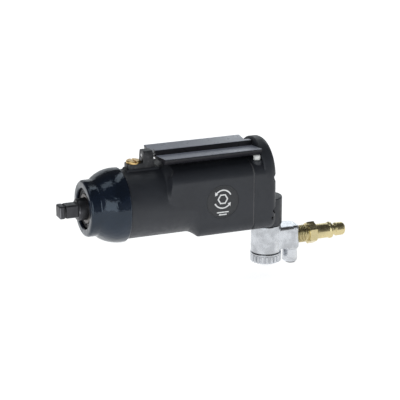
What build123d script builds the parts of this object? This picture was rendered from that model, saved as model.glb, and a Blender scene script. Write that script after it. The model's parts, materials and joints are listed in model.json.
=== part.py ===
from build123d import *
import math
import os

# Butterfly impact wrench, 3/8 inch square drive. Millimetres.
# X runs back along the drive axis from the anvil's end face, Z is up, and the air inlet hangs below the
# rear.

# ---------------------------------------------------------------- driving dimensions
FIT = 0.05              # radial running or assembly fit between round pieces
LOOSE = 0.3             # air between pieces that move past each other

# drive end
DRIVE_SIZE = 9.525      # square drive, across flats
DRIVE_LENGTH = 13.6
ANVIL_SHAFT_R = 8.0
RING_GROOVE_X = 4.4     # friction ring, from the drive's end face
RING_WIDTH = 1.2
BUSHING_R = ANVIL_SHAFT_R + 3.0
BUSHING_PROUD = 0.6     # bushing stands out of the hammer case

# nose boot and hammer case
NOSE_X = 18.65          # boot's front face
BOOT_WALL = 2.2
BOOT_HOLE_R = 14.9
BOOT_COLLAR_R = 20.8
BOOT_MAX_R = 27.3
BOOT_CROWN_X = NOSE_X + 24.85     # where the boot is widest
BOOT_DOME_R = 25.9      # radius of the dome's section
BOOT_REAR_X = BOOT_CROWN_X + 3.3
CASE_WALL_X = NOSE_X + 15.85      # rear of the hammer case's solid nose
SPIGOT_WALL = 2.65
SPIGOT_LENGTH = 6.0

# hammer mechanism
CAGE_R = 18.9
CASE_BORE_R = CAGE_R + 0.7
CAGE_FRONT_X = CASE_WALL_X + 2.5
CAGE_DISC = 4.0
DOG_LENGTH = 16.9
CAGE_REAR_DISC = 5.5
CAGE_HUB_R = 8.0
CAGE_HUB_LENGTH = 6.0
CAGE_WEB = 1.7
HAMMER_PIN_R = 2.0
ANVIL_CORE_R = ANVIL_SHAFT_R - 1.5
LUG_R = ANVIL_SHAFT_R + 1.6
DOG_BORE_R = LUG_R + 1.4
DOG_R = CAGE_R - 3.3
HAMMER_PIN_Y = (DOG_BORE_R + DOG_R) / 2
PILOT_R = 4.0
PILOT_LENGTH = 3.2

# motor housing
HOUSING_FRONT_X = BOOT_REAR_X + 0.2
HOUSING_LENGTH = 93.8
HOUSING_R = 25.3        # front barrel, and half the width of the rear block
MOTOR_BORE_R = 21.0
SPIGOT_R = max(CASE_BORE_R + SPIGOT_WALL, MOTOR_BORE_R + 1.25)
SEAM_X = HOUSING_FRONT_X + HOUSING_LENGTH     # rear face of the housing
BLOCK_BOTTOM = HOUSING_R - 1.8     # below the drive axis
BLOCK_TOP = HOUSING_R + 3.2
CROWN_EDGE = BLOCK_TOP - 5.6       # height at which the crowned top meets the sides
CROWN_FILLET = 8.0
BOTTOM_FILLET = 6.0
BLOCK_FRONT_TOP_X = HOUSING_FRONT_X + 27.5
BLOCK_FRONT_LOW_X = BLOCK_FRONT_TOP_X + 22.0
BLOCK_STEP_TOP = 5.0
BLOCK_STEP_LOW = -8.0
PAD_TOP = HOUSING_R + 1.0          # flat under the lever bracket
PAD_WIDTH = 13.0
PAD_FRONT_X = HOUSING_FRONT_X + 3.5
BADGE_X = SEAM_X - 24.3
BADGE_Z = 1.0
BADGE_R = 12.5
BADGE_DEPTH = 0.5

# motor
FRONT_BEARING = (5.0, 11.0, 6.0)     # inner radius, outer radius, width
REAR_BEARING = (3.0, 9.5, 6.0)
SHAFT_GAP = 2.5          # hammer cage's hub to the front end plate
PLATE_WALL = 2.4
COVER_SPIGOT = 8.5       # how far the rear cover's spigot reaches into the bore
ROTOR_OFFSET = 1.7      # liner bore's eccentricity
LINER_WALL = 4.4
LINER_BORE_R = MOTOR_BORE_R - LINER_WALL
ROTOR_R = LINER_BORE_R - 2.0
VANE_COUNT = 6
VANE_THICKNESS = 1.5
VANE_DEPTH = 7.0
DOWEL_R = 1.2

# rear cover
GASKET = 0.6
SHOULDER = 8.1           # cover's low front part, ahead of its tower
TOWER = 10.3
TOWER_FRONT_X = SEAM_X + GASKET + SHOULDER
COVER_REAR_X = TOWER_FRONT_X + TOWER
TOWER_R = HOUSING_R
TOWER_TOP = BLOCK_TOP + 11.0
COVER_ROUND = 5.0
SCREW_R = 1.75
SCREW_HEAD_R = 2.87
SCREW_HEAD = 3.4
SCREW_SEAT_X = TOWER_FRONT_X + 1.5
SCREW_Y = HOUSING_R - 3.3
SCREW_ZS = (13.5, -11.0)
SCREW_LENGTH = 26.0

# throttle
ROD_R = 1.6
ROD_Z = BLOCK_TOP + 6.5
PLUNGER_R = 2.6
PLUNGER_GAP = 0.08
PLUNGER_X = TOWER_FRONT_X - PLUNGER_R - 0.3
PLUNGER_Y = SCREW_Y - SCREW_R - PLUNGER_R - 0.65
PADDLE_HALF_WIDTH = PLUNGER_Y + 4.9
WING_UNDERSIDE = ROD_Z - 3.7
PLUNGER_TOP = WING_UNDERSIDE - 0.4
VALVE_BORE_BOTTOM = 0.0

# lever bracket
BRACKET_FRONT_X = PAD_FRONT_X + 1.0
UPRIGHT_FRONT_X = BRACKET_FRONT_X + 11.7
BRACKET_REAR_X = UPRIGHT_FRONT_X + 9.1
BRACKET_TOP = ROD_Z + 3.7
PADDLE_FRONT_X = BRACKET_REAR_X + 1.2
PADDLE_REAR_X = TOWER_FRONT_X - 0.6
BRACKET_HALF_WIDTH = 4.2
FOOT_TOP = PAD_TOP + 3.7
BRACKET_SCREW_X = BRACKET_FRONT_X + 5.9
BRACKET_SCREW_R = 2.5
BRACKET_HEAD_R = 5.3
BRACKET_HEAD = 2.0
DOWEL_PIN_X = UPRIGHT_FRONT_X + 4.3

# swivel inlet
STUD_R = 7.6
BOSS_R = STUD_R + 4.2
INLET_X = COVER_REAR_X + 2.3
BOSS_BOTTOM = -(BLOCK_BOTTOM + 4.8)
BOSS_TOP = BOSS_BOTTOM + 21.3
STUD_TOP = BOSS_TOP - 6.0
STUD_BORE_R = 2.7
STUD_GROOVE_R = STUD_R - 3.3
STUD_THREAD_R = STUD_R - 1.1
ROLL_PIN_R = 1.45
ROLL_PIN_X = INLET_X - STUD_GROOVE_R - ROLL_PIN_R - 0.15
ROLL_PIN_Z = STUD_TOP - 3.2
BARREL_R = STUD_R + 3.7
ARM_TOP = BOSS_BOTTOM - 2.7
ARM_HEIGHT = 19.0
BARREL_BOTTOM = ARM_TOP - ARM_HEIGHT
NIPPLE_Z = ARM_TOP - ARM_HEIGHT / 2
STUD_LOW = NIPPLE_Z + 2.5
KNOB_R = BARREL_R + 0.3
COLUMN_R = 6.4
COLUMN_X = INLET_X + KNOB_R + 2.5 + COLUMN_R
ARM_REAR_X = COLUMN_X + COLUMN_R
ARM_HALF_WIDTH = 9.2
COLUMN_BOTTOM = BARREL_BOTTOM - 10.0
PLUG_R = 3.9
KNOB_LENGTH = 7.5
KNOB_FLUTES = 18
SPOOL_R = STUD_R - 0.15

# quick connect nipple, along X
THREAD_R = 6.58
THREAD_START_X = ARM_REAR_X - 9.0
HEX_X = ARM_REAR_X + 6.7
HEX_FLATS = 15.0
HEX_LENGTH = 6.7
SHANK_R = 5.7
COLLAR_X = HEX_X + 17.3
COLLAR_R = 6.3
NECK_X = COLLAR_X + 3.2
NECK_R = 4.0
TIP_X = NECK_X + 3.2
TIP_R = 5.05
NIPPLE_END_X = TIP_X + 7.0
NIPPLE_BORE_R = 2.6

os.makedirs("parts", exist_ok=True)


# ---------------------------------------------------------------- shared shapes
def tube_x(x_start, x_end, r_out, r_in=0.0, centre=(0.0, 0.0), mode=Mode.ADD):
    """A ring or disc on the X direction, centred at (y, z)."""
    with BuildSketch(Plane.YZ.offset(x_start)) as ring:
        with Locations(centre):
            Circle(r_out)
            if r_in > 0:
                Circle(r_in, mode=Mode.SUBTRACT)
    return extrude(ring.sketch, amount=x_end - x_start, mode=mode)


def tube_z(z_start, z_end, r_out, r_in=0.0, centre=(0.0, 0.0), mode=Mode.ADD):
    """A ring or disc on the Z direction, centred at (x, y)."""
    with BuildSketch(Plane.XY.offset(z_start)) as ring:
        with Locations(centre):
            Circle(r_out)
            if r_in > 0:
                Circle(r_in, mode=Mode.SUBTRACT)
    return extrude(ring.sketch, amount=z_end - z_start, mode=mode)


def tube_y(y_start, y_end, r_out, centre, mode=Mode.ADD):
    """A round bar on the Y direction, centred at (x, z)."""
    with BuildSketch(Plane.XZ.offset(-y_end)) as disc:
        with Locations(centre):
            Circle(r_out)
    return extrude(disc.sketch, amount=y_end - y_start, mode=mode)


def block_section(x):
    """Section of the housing's rear block: flat sides, rounded bottom corners and a crowned top."""
    with BuildSketch(Plane.YZ.offset(x)) as section:
        with BuildLine():
            Polyline(
                (-HOUSING_R, CROWN_EDGE), (-HOUSING_R, -BLOCK_BOTTOM), (HOUSING_R, -BLOCK_BOTTOM),
                (HOUSING_R, CROWN_EDGE)
            )
            ThreePointArc((HOUSING_R, CROWN_EDGE), (0, BLOCK_TOP), (-HOUSING_R, CROWN_EDGE))
        make_face()
        fillet(section.vertices().group_by(Axis.Y)[0], BOTTOM_FILLET)
        fillet(section.vertices().group_by(Axis.Y)[-1], CROWN_FILLET)
    return section.sketch


def dome_start(collar_r, dome_r):
    """X at which the boot's straight collar meets its dome."""
    rise = collar_r - (BOOT_MAX_R - BOOT_DOME_R)
    return BOOT_CROWN_X - math.sqrt(dome_r**2 - rise**2)


def dome_points(collar_r, dome_r):
    """Start, middle and crown of the dome's arc, as (x, r) points."""
    axis_r = BOOT_MAX_R - BOOT_DOME_R
    start_x = dome_start(collar_r, dome_r)
    half = math.acos((collar_r - axis_r) / dome_r) / 2
    middle = (BOOT_CROWN_X - dome_r * math.sin(half), axis_r + dome_r * math.cos(half))
    return (start_x, collar_r), middle, (BOOT_CROWN_X, axis_r + dome_r)


def coil(z_start, z_end, mean_r, wire_r, turns, centre):
    """A round-wire compression spring on the Z direction, centred at (x, y)."""
    low = z_start + wire_r
    high = z_end - wire_r
    pitch = (high - low) / turns
    helix = Helix(pitch=pitch, height=high - low, radius=mean_r, center=(centre[0], centre[1], low),
        mode=Mode.PRIVATE)
    with BuildPart() as spring:
        with BuildSketch(Plane(helix @ 0, z_dir=helix % 0)) as wire:
            Circle(wire_r)
        sweep(wire.sketch, path=helix, is_frenet=True)
    return spring.part


def export(part, name):
    """Label a finished piece and write it under its own name."""
    part.label = name
    export_step(part, f"parts/{name}.step")


# ---------------------------------------------------------------- drive end
cage_rear_x = CAGE_FRONT_X + CAGE_DISC + DOG_LENGTH + 2 * LOOSE
collar_x = CASE_WALL_X + 1.1
groove_r = DRIVE_SIZE / 2 - 0.3

with BuildPart() as anvil:
    with BuildSketch(Plane.YZ):
        Rectangle(DRIVE_SIZE, DRIVE_SIZE)
        fillet(vertices(), 1.1)
    extrude(amount=DRIVE_LENGTH + 1.0)
    chamfer(anvil.faces().sort_by(Axis.X)[0].edges(), 0.8)
    tube_x(RING_GROOVE_X - RING_WIDTH / 2 - 0.1, RING_GROOVE_X + RING_WIDTH / 2 + 0.1, DRIVE_SIZE,
        groove_r, mode=Mode.SUBTRACT)
    with BuildSketch(Plane.YZ.offset(DRIVE_LENGTH)):
        Circle(ANVIL_SHAFT_R - 0.8)
    with BuildSketch(Plane.YZ.offset(DRIVE_LENGTH + 0.8)):
        Circle(ANVIL_SHAFT_R)
    loft()
    tube_x(DRIVE_LENGTH + 0.8, collar_x, ANVIL_SHAFT_R)
    tube_x(collar_x, CAGE_FRONT_X - 0.4, BUSHING_R - 0.6)
    tube_x(CAGE_FRONT_X - 0.4, CAGE_FRONT_X + CAGE_DISC + LOOSE, ANVIL_SHAFT_R)
    tube_x(CAGE_FRONT_X + CAGE_DISC + LOOSE, cage_rear_x - LOOSE, ANVIL_CORE_R)
    with BuildSketch(Plane.YZ.offset(CAGE_FRONT_X + CAGE_DISC + LOOSE)):
        with BuildLine():
            Polyline((-2.2, 0), (-3.2, LUG_R - 0.6), (3.2, LUG_R - 0.6), (2.2, 0), close=True)
        make_face()
    extrude(amount=cage_rear_x - CAGE_FRONT_X - CAGE_DISC - 2 * LOOSE)
    tube_x(cage_rear_x - LOOSE, cage_rear_x + PILOT_LENGTH, PILOT_R)
export(anvil.part, "anvil")

with BuildPart() as friction_ring:
    tube_x(RING_GROOVE_X - RING_WIDTH / 2, RING_GROOVE_X + RING_WIDTH / 2, groove_r + 0.95,
        groove_r + FIT)
    with BuildSketch(Plane.XY):
        with Locations((RING_GROOVE_X, 0)):
            Rectangle(2 * RING_WIDTH, 1.6)
    extrude(amount=DRIVE_SIZE, mode=Mode.SUBTRACT)
export(friction_ring.part, "friction_ring")

case_front_x = NOSE_X + BOOT_WALL + FIT
with BuildPart() as anvil_bushing:
    tube_x(case_front_x - BUSHING_PROUD, CASE_WALL_X, BUSHING_R - FIT, ANVIL_SHAFT_R + FIT)
    chamfer(anvil_bushing.faces().sort_by(Axis.X)[0].edges(), 0.4)
export(anvil_bushing.part, "anvil_bushing")

RETAINER_DEPTH = 1.2
with BuildPart() as bushing_retaining_ring:
    tube_x(case_front_x + 0.1, case_front_x + RETAINER_DEPTH, BUSHING_R + 1.7, BUSHING_R + FIT)
    with BuildSketch(Plane.XY):
        with Locations((case_front_x + RETAINER_DEPTH / 2, 0)):
            Rectangle(2 * RETAINER_DEPTH, 3.0)
    extrude(amount=-2 * BUSHING_R, mode=Mode.SUBTRACT)
export(bushing_retaining_ring.part, "bushing_retaining_ring")

with BuildPart() as thrust_washer:
    tube_x(CASE_WALL_X + 0.2, collar_x - 0.05, BUSHING_R - 0.3, ANVIL_SHAFT_R + FIT)
export(thrust_washer.part, "thrust_washer")

# ---------------------------------------------------------------- nose boot and hammer case
outer_start, outer_middle, outer_crown = dome_points(BOOT_COLLAR_R, BOOT_DOME_R)
inner_start, inner_middle, inner_crown = dome_points(BOOT_COLLAR_R - BOOT_WALL, BOOT_DOME_R - BOOT_WALL)
with BuildPart() as nose_boot:
    with BuildSketch(Plane.XZ) as boot_section:
        with BuildLine():
            Polyline((NOSE_X, BOOT_HOLE_R), (NOSE_X, BOOT_COLLAR_R), outer_start)
            ThreePointArc(outer_start, outer_middle, outer_crown)
            Polyline(outer_crown, (BOOT_REAR_X, BOOT_MAX_R), (BOOT_REAR_X, inner_crown[1]), inner_crown)
            ThreePointArc(inner_crown, inner_middle, inner_start)
            Polyline(
                inner_start, (NOSE_X + BOOT_WALL, inner_start[1]), (NOSE_X + BOOT_WALL, BOOT_HOLE_R),
                (NOSE_X, BOOT_HOLE_R)
            )
        make_face()
        corner = boot_section.vertices().sort_by_distance((NOSE_X, BOOT_COLLAR_R))[0]
        fillet(corner, 2.6)
        root = boot_section.vertices().sort_by_distance(outer_start)[0]
        fillet(root, 4.0)
        heel = boot_section.vertices().sort_by_distance((BOOT_REAR_X, BOOT_MAX_R))[0]
        fillet(heel, 1.9)
        lip = boot_section.vertices().sort_by_distance((NOSE_X, BOOT_HOLE_R))[0]
        fillet(lip, 0.9)
    revolve(axis=Axis.X)
export(nose_boot.part, "nose_boot")

case_collar_r = BOOT_COLLAR_R - BOOT_WALL - FIT
case_dome_r = BOOT_DOME_R - BOOT_WALL - FIT
case_start, case_middle, case_crown = dome_points(case_collar_r, case_dome_r)
spigot_end_x = HOUSING_FRONT_X + SPIGOT_LENGTH
CASE_RING_X = HOUSING_FRONT_X + 2.8
CASE_RING_R = 0.62
with BuildPart() as hammer_case:
    with BuildSketch(Plane.XZ) as case_section:
        with BuildLine():
            Polyline((case_front_x, BUSHING_R), (case_front_x, case_collar_r), case_start)
            ThreePointArc(case_start, case_middle, case_crown)
            Polyline(
                case_crown, (HOUSING_FRONT_X, case_crown[1]), (HOUSING_FRONT_X, SPIGOT_R),
                (spigot_end_x, SPIGOT_R),
                (spigot_end_x, CASE_BORE_R), (CASE_WALL_X, CASE_BORE_R), (CASE_WALL_X, BUSHING_R),
                (case_front_x, BUSHING_R),
            )
        make_face()
    revolve(axis=Axis.X)
    tube_x(case_front_x, case_front_x + RETAINER_DEPTH, BUSHING_R + 1.7 + FIT, BUSHING_R - 1,
        mode=Mode.SUBTRACT)
    tube_x(CASE_RING_X - 0.8, CASE_RING_X + 0.8, SPIGOT_R + 1, SPIGOT_R - 2 * CASE_RING_R,
        mode=Mode.SUBTRACT)
export(hammer_case.part, "hammer_case")

with BuildPart() as case_oring:
    with BuildSketch(Plane.XZ):
        with Locations((CASE_RING_X, SPIGOT_R - CASE_RING_R)):
            Circle(CASE_RING_R - 0.02)
    revolve(axis=Axis.X)
export(case_oring.part, "case_oring")

# ---------------------------------------------------------------- hammer mechanism
hub_end_x = cage_rear_x + CAGE_REAR_DISC + CAGE_HUB_LENGTH
rotor_shaft_r = FRONT_BEARING[0] - 0.02
SHAFT_INSERT = 5.0
with BuildPart() as hammer_cage:
    tube_x(CAGE_FRONT_X, CAGE_FRONT_X + CAGE_DISC, CAGE_R, ANVIL_SHAFT_R + LOOSE)
    tube_x(cage_rear_x, cage_rear_x + CAGE_REAR_DISC, CAGE_R)
    tube_x(cage_rear_x + CAGE_REAR_DISC, hub_end_x, CAGE_HUB_R)
    with BuildSketch(Plane.YZ.offset(CAGE_FRONT_X + CAGE_DISC)):
        Circle(CAGE_R)
        Circle(CAGE_R - CAGE_WEB, mode=Mode.SUBTRACT)
        with Locations((CAGE_R * math.cos(math.radians(30)), 0)):
            Rectangle(CAGE_R * 2, CAGE_R * 3, mode=Mode.SUBTRACT)
        with Locations((-CAGE_R, 0)):
            Rectangle(CAGE_R, CAGE_R, mode=Mode.SUBTRACT)
    extrude(amount=cage_rear_x - CAGE_FRONT_X - CAGE_DISC)
    tube_x(cage_rear_x - 1, cage_rear_x + PILOT_LENGTH + LOOSE, PILOT_R + FIT, mode=Mode.SUBTRACT)
    tube_x(hub_end_x - SHAFT_INSERT, hub_end_x + 1, rotor_shaft_r + 0.03, mode=Mode.SUBTRACT)
    tube_x(CAGE_FRONT_X - 1, cage_rear_x + 3.0, HAMMER_PIN_R + 0.02, centre=(HAMMER_PIN_Y, 0),
        mode=Mode.SUBTRACT)
export(hammer_cage.part, "hammer_cage")

with BuildPart() as hammer_pin:
    tube_x(CAGE_FRONT_X + 0.2, cage_rear_x + 2.9, HAMMER_PIN_R, centre=(HAMMER_PIN_Y, 0))
    chamfer(hammer_pin.faces().sort_by(Axis.X)[0].edges(), 0.3)
export(hammer_pin.part, "hammer_pin")

dog_front_x = CAGE_FRONT_X + CAGE_DISC + LOOSE
with BuildPart() as hammer_dog:
    with BuildSketch(Plane.YZ.offset(dog_front_x)):
        Circle(DOG_R)
        with Locations((HAMMER_PIN_Y, 0)):
            Circle(HAMMER_PIN_R + 2.3)
        Circle(DOG_BORE_R, mode=Mode.SUBTRACT)
        with Locations((-DOG_BORE_R, 0)):
            Rectangle(4.6, 5.0)
        with Locations((HAMMER_PIN_Y, 0)):
            Circle(HAMMER_PIN_R + 0.07, mode=Mode.SUBTRACT)
    extrude(amount=DOG_LENGTH)
export(hammer_dog.part, "hammer_dog")

# ---------------------------------------------------------------- air motor
MOTOR_FRONT_X = hub_end_x + SHAFT_GAP
front_plate_end_x = MOTOR_FRONT_X + FRONT_BEARING[2] + PLATE_WALL
rear_plate_end_x = SEAM_X - COVER_SPIGOT
liner_end_x = rear_plate_end_x - PLATE_WALL - REAR_BEARING[2]
LINER_LENGTH = liner_end_x - front_plate_end_x
plate_r = MOTOR_BORE_R - FIT
DOWEL_Z = -(MOTOR_BORE_R - 2.2)


def bearing(name, dims, x_start, ball_count):
    """A deep-groove ball bearing on the drive axis as two rings and a set of balls."""
    r_in, r_out, width = dims
    ball_r = (r_out - r_in) * 0.22
    middle = (r_in + r_out) / 2
    with BuildPart() as outer_ring:
        tube_x(x_start, x_start + width, r_out - 0.03, middle + ball_r - 0.05 * ball_r)
        with BuildSketch(Plane.XZ):
            with Locations((x_start + width / 2, middle)):
                Circle(ball_r + FIT)
        revolve(axis=Axis.X, mode=Mode.SUBTRACT)
    export(outer_ring.part, f"{name}_outer_ring")
    with BuildPart() as inner_ring:
        tube_x(x_start, x_start + width, middle - ball_r - 0.15, r_in)
    export(inner_ring.part, f"{name}_inner_ring")
    with BuildPart() as balls:
        for k in range(ball_count):
            turn = 2 * math.pi * k / ball_count
            with Locations((x_start + width / 2, middle * math.cos(turn), middle * math.sin(turn))):
                Sphere(ball_r)
    export(balls.part, f"{name}_balls")


with BuildPart() as front_end_plate:
    tube_x(MOTOR_FRONT_X, front_plate_end_x, plate_r)
    tube_x(MOTOR_FRONT_X - 1, MOTOR_FRONT_X + FRONT_BEARING[2], FRONT_BEARING[1], mode=Mode.SUBTRACT)
    tube_x(MOTOR_FRONT_X, front_plate_end_x + 1, FRONT_BEARING[0] + 1.5, mode=Mode.SUBTRACT)
    tube_x(front_plate_end_x - 1.5, front_plate_end_x + 1, DOWEL_R + FIT, centre=(0, DOWEL_Z),
        mode=Mode.SUBTRACT)
export(front_end_plate.part, "front_end_plate")
bearing("front_bearing", FRONT_BEARING, MOTOR_FRONT_X, 9)

with BuildPart() as cylinder_liner:
    tube_x(front_plate_end_x, liner_end_x, plate_r)
    tube_x(front_plate_end_x - 1, liner_end_x + 1, LINER_BORE_R, centre=(0, ROTOR_OFFSET),
        mode=Mode.SUBTRACT)
    tube_x(front_plate_end_x - 1, liner_end_x + 1, DOWEL_R + FIT, centre=(0, DOWEL_Z), mode=Mode.SUBTRACT)
export(cylinder_liner.part, "cylinder_liner")

with BuildPart() as liner_dowel:
    tube_x(front_plate_end_x - 1.4, liner_end_x + 1.4, DOWEL_R, centre=(0, DOWEL_Z))
export(liner_dowel.part, "liner_dowel")

with BuildPart() as rotor:
    tube_x(front_plate_end_x + LOOSE, liner_end_x - LOOSE, ROTOR_R)
    with BuildSketch(Plane.YZ.offset(front_plate_end_x)):
        with PolarLocations(ROTOR_R - VANE_DEPTH / 2 + 0.5, VANE_COUNT):
            Rectangle(VANE_DEPTH + 1.0, VANE_THICKNESS)
    extrude(amount=LINER_LENGTH, mode=Mode.SUBTRACT)
    tube_x(hub_end_x - SHAFT_INSERT + 0.3, front_plate_end_x + LOOSE, rotor_shaft_r)
    tube_x(liner_end_x - LOOSE, rear_plate_end_x + 0.3, REAR_BEARING[0] - 0.02)
export(rotor.part, "rotor")

with BuildPart() as rotor_vanes:
    with BuildSketch(Plane.YZ.offset(front_plate_end_x + LOOSE + 0.1)):
        with PolarLocations(ROTOR_R - VANE_DEPTH / 2, VANE_COUNT):
            Rectangle(VANE_DEPTH - 0.6, VANE_THICKNESS - 0.1)
    extrude(amount=LINER_LENGTH - 2 * LOOSE - 0.2)
export(rotor_vanes.part, "rotor_vanes")

with BuildPart() as rear_end_plate:
    tube_x(liner_end_x, rear_plate_end_x, plate_r)
    tube_x(liner_end_x + PLATE_WALL, rear_plate_end_x + 1, REAR_BEARING[1], mode=Mode.SUBTRACT)
    tube_x(liner_end_x - 1, rear_plate_end_x, REAR_BEARING[0] + 1.2, mode=Mode.SUBTRACT)
    tube_x(liner_end_x - 1, liner_end_x + 1.5, DOWEL_R + FIT, centre=(0, DOWEL_Z), mode=Mode.SUBTRACT)
export(rear_end_plate.part, "rear_end_plate")
bearing("rear_bearing", REAR_BEARING, liner_end_x + PLATE_WALL, 8)

# ---------------------------------------------------------------- motor housing
screw_places = [(side * SCREW_Y, z) for side in (-1, 1) for z in SCREW_ZS]
screw_tip_x = SCREW_SEAT_X - SCREW_LENGTH
SLOT_X = SEAM_X - 32.8
SLOT_PITCH = 6.0
SLOT_LENGTH = 18.0
SLOT_WIDTH = 2.2

with BuildPart() as housing_block:
    extrude(block_section(BLOCK_FRONT_TOP_X), amount=SEAM_X - BLOCK_FRONT_TOP_X)
    with BuildSketch(Plane.XZ) as block_side:
        with BuildLine():
            Polyline(
                (BLOCK_FRONT_TOP_X, BLOCK_TOP + 1), (BLOCK_FRONT_TOP_X, BLOCK_STEP_TOP),
                (BLOCK_FRONT_LOW_X, BLOCK_STEP_LOW),
                (BLOCK_FRONT_LOW_X, -BLOCK_BOTTOM - 1), (SEAM_X, -BLOCK_BOTTOM - 1),
                (SEAM_X, BLOCK_TOP + 1), close=True,
            )
        make_face()
    extrude(amount=HOUSING_R + 1, both=True, mode=Mode.INTERSECT)

with BuildPart() as motor_housing:
    tube_x(HOUSING_FRONT_X, SEAM_X, HOUSING_R)
    chamfer(motor_housing.faces().sort_by(Axis.X)[0].edges(), 0.4)
    add(housing_block.part)
    with BuildSketch(Plane.XY.offset(HOUSING_R - 4)):
        with Locations((PAD_FRONT_X, 0)):
            Rectangle(BLOCK_FRONT_TOP_X - PAD_FRONT_X + 1, PAD_WIDTH, align=(Align.MIN, Align.CENTER))
    extrude(amount=PAD_TOP - HOUSING_R + 4)
    tube_x(HOUSING_FRONT_X - 1, SEAM_X + 1, MOTOR_BORE_R, mode=Mode.SUBTRACT)
    tube_x(HOUSING_FRONT_X - 1, spigot_end_x + FIT, SPIGOT_R + FIT, mode=Mode.SUBTRACT)
    tube_y(-HOUSING_R - 1, -HOUSING_R + BADGE_DEPTH, BADGE_R, (BADGE_X, BADGE_Z), mode=Mode.SUBTRACT)
    for place in screw_places:
        tube_x(screw_tip_x - 1, SEAM_X + 1, SCREW_R + FIT, centre=place, mode=Mode.SUBTRACT)
    bracket_hole_z = SPIGOT_R + 0.7
    tube_z(bracket_hole_z, PAD_TOP + 1, BRACKET_SCREW_R + FIT, centre=(BRACKET_SCREW_X, 0),
        mode=Mode.SUBTRACT)
    tube_z(bracket_hole_z, PAD_TOP + 1, DOWEL_R + FIT, centre=(DOWEL_PIN_X, 0), mode=Mode.SUBTRACT)
    with BuildSketch(Plane.XY.offset(-BLOCK_BOTTOM - 1)):
        with Locations((SLOT_X, 0)):
            with GridLocations(1, SLOT_PITCH, 1, 3):
                SlotOverall(SLOT_LENGTH, SLOT_WIDTH)
    extrude(amount=BLOCK_BOTTOM + 1 - MOTOR_BORE_R + 1.2, mode=Mode.SUBTRACT)
export(motor_housing.part, "motor_housing")

with BuildPart() as badge_disc:
    tube_y(-HOUSING_R + 0.05, -HOUSING_R + BADGE_DEPTH, BADGE_R - 0.15, (BADGE_X, BADGE_Z))
export(badge_disc.part, "badge_disc")

# ---------------------------------------------------------------- rear cover
cover_front_x = SEAM_X + GASKET
tower_centre_z = TOWER_TOP - TOWER_R

with BuildPart() as cover_gasket:
    extrude(offset(block_section(SEAM_X), amount=-0.35, mode=Mode.PRIVATE), amount=GASKET)
    tube_x(SEAM_X - 1, cover_front_x + 1, MOTOR_BORE_R + FIT, mode=Mode.SUBTRACT)
    for place in screw_places:
        tube_x(SEAM_X - 1, cover_front_x + 1, SCREW_R + FIT, centre=place, mode=Mode.SUBTRACT)
export(cover_gasket.part, "cover_gasket")

with BuildPart() as cover_wall:
    with BuildSketch(Plane.YZ.offset(TOWER_FRONT_X)) as arch:
        with BuildLine():
            Polyline(
                (-TOWER_R, tower_centre_z), (-HOUSING_R, -BLOCK_BOTTOM), (HOUSING_R, -BLOCK_BOTTOM),
                (TOWER_R, tower_centre_z)
            )
            ThreePointArc((TOWER_R, tower_centre_z), (0, TOWER_TOP), (-TOWER_R, tower_centre_z))
        make_face()
        fillet(arch.vertices().group_by(Axis.Y)[0], BOTTOM_FILLET)
    extrude(amount=COVER_REAR_X - TOWER_FRONT_X)
    fillet(cover_wall.faces().sort_by(Axis.X)[-1].edges(), COVER_ROUND)
    fillet(cover_wall.faces().sort_by(Axis.X)[0].edges().sort_by(Axis.Z)[-1], 1.2)

with BuildPart() as rear_cover:
    add(cover_wall.part)
    extrude(block_section(cover_front_x), amount=TOWER_FRONT_X + 0.5 - cover_front_x)
    tube_z(BOSS_BOTTOM, BOSS_TOP, BOSS_R, centre=(INLET_X, 0))
    with BuildSketch(Plane.XY.offset(BOSS_BOTTOM)):
        with Locations((INLET_X, 0)):
            Rectangle(2 * (INLET_X - TOWER_FRONT_X) - 4, 2 * BOSS_R)
        with Locations((INLET_X, 0)):
            Rectangle(40, 2 * BOSS_R, align=(Align.MIN, Align.CENTER), mode=Mode.SUBTRACT)
    extrude(amount=BOSS_TOP - BOSS_BOTTOM)
    tube_x(rear_plate_end_x + 0.1, cover_front_x, plate_r, plate_r - 2.2)
    tube_x(cover_front_x - 1, cover_front_x + 1.0, plate_r - 2.2, mode=Mode.SUBTRACT)
    for side in (-1, 1):
        plunger_place = (PLUNGER_X, side * PLUNGER_Y)
        tube_z(VALVE_BORE_BOTTOM, BLOCK_TOP, PLUNGER_R + PLUNGER_GAP, centre=plunger_place,
            mode=Mode.SUBTRACT)
    tube_y(-PLUNGER_Y, PLUNGER_Y, 1.5, (PLUNGER_X, VALVE_BORE_BOTTOM + 2.0), mode=Mode.SUBTRACT)
    tube_x(PLUNGER_X, INLET_X, 1.5, centre=(0, VALVE_BORE_BOTTOM + 2.0), mode=Mode.SUBTRACT)
    for place in screw_places:
        tube_x(cover_front_x - 1, SCREW_SEAT_X + 1, SCREW_R + FIT, centre=place, mode=Mode.SUBTRACT)
        tube_x(SCREW_SEAT_X, COVER_REAR_X + 1, SCREW_HEAD_R + 0.13, centre=place, mode=Mode.SUBTRACT)
    tube_z(BOSS_BOTTOM - 1, STUD_TOP + LOOSE, STUD_R + FIT, centre=(INLET_X, 0), mode=Mode.SUBTRACT)
    tube_z(STUD_TOP, BOSS_TOP - 2.4, STUD_R - 3, centre=(INLET_X, 0), mode=Mode.SUBTRACT)
    tube_y(-HOUSING_R - 1, STUD_R + 1.5, ROLL_PIN_R + 0.03, (ROLL_PIN_X, ROLL_PIN_Z), mode=Mode.SUBTRACT)
    tube_x(TOWER_FRONT_X - 1, COVER_REAR_X - 3.0, ROD_R + 0.03, centre=(0, ROD_Z), mode=Mode.SUBTRACT)
export(rear_cover.part, "rear_cover")

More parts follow.
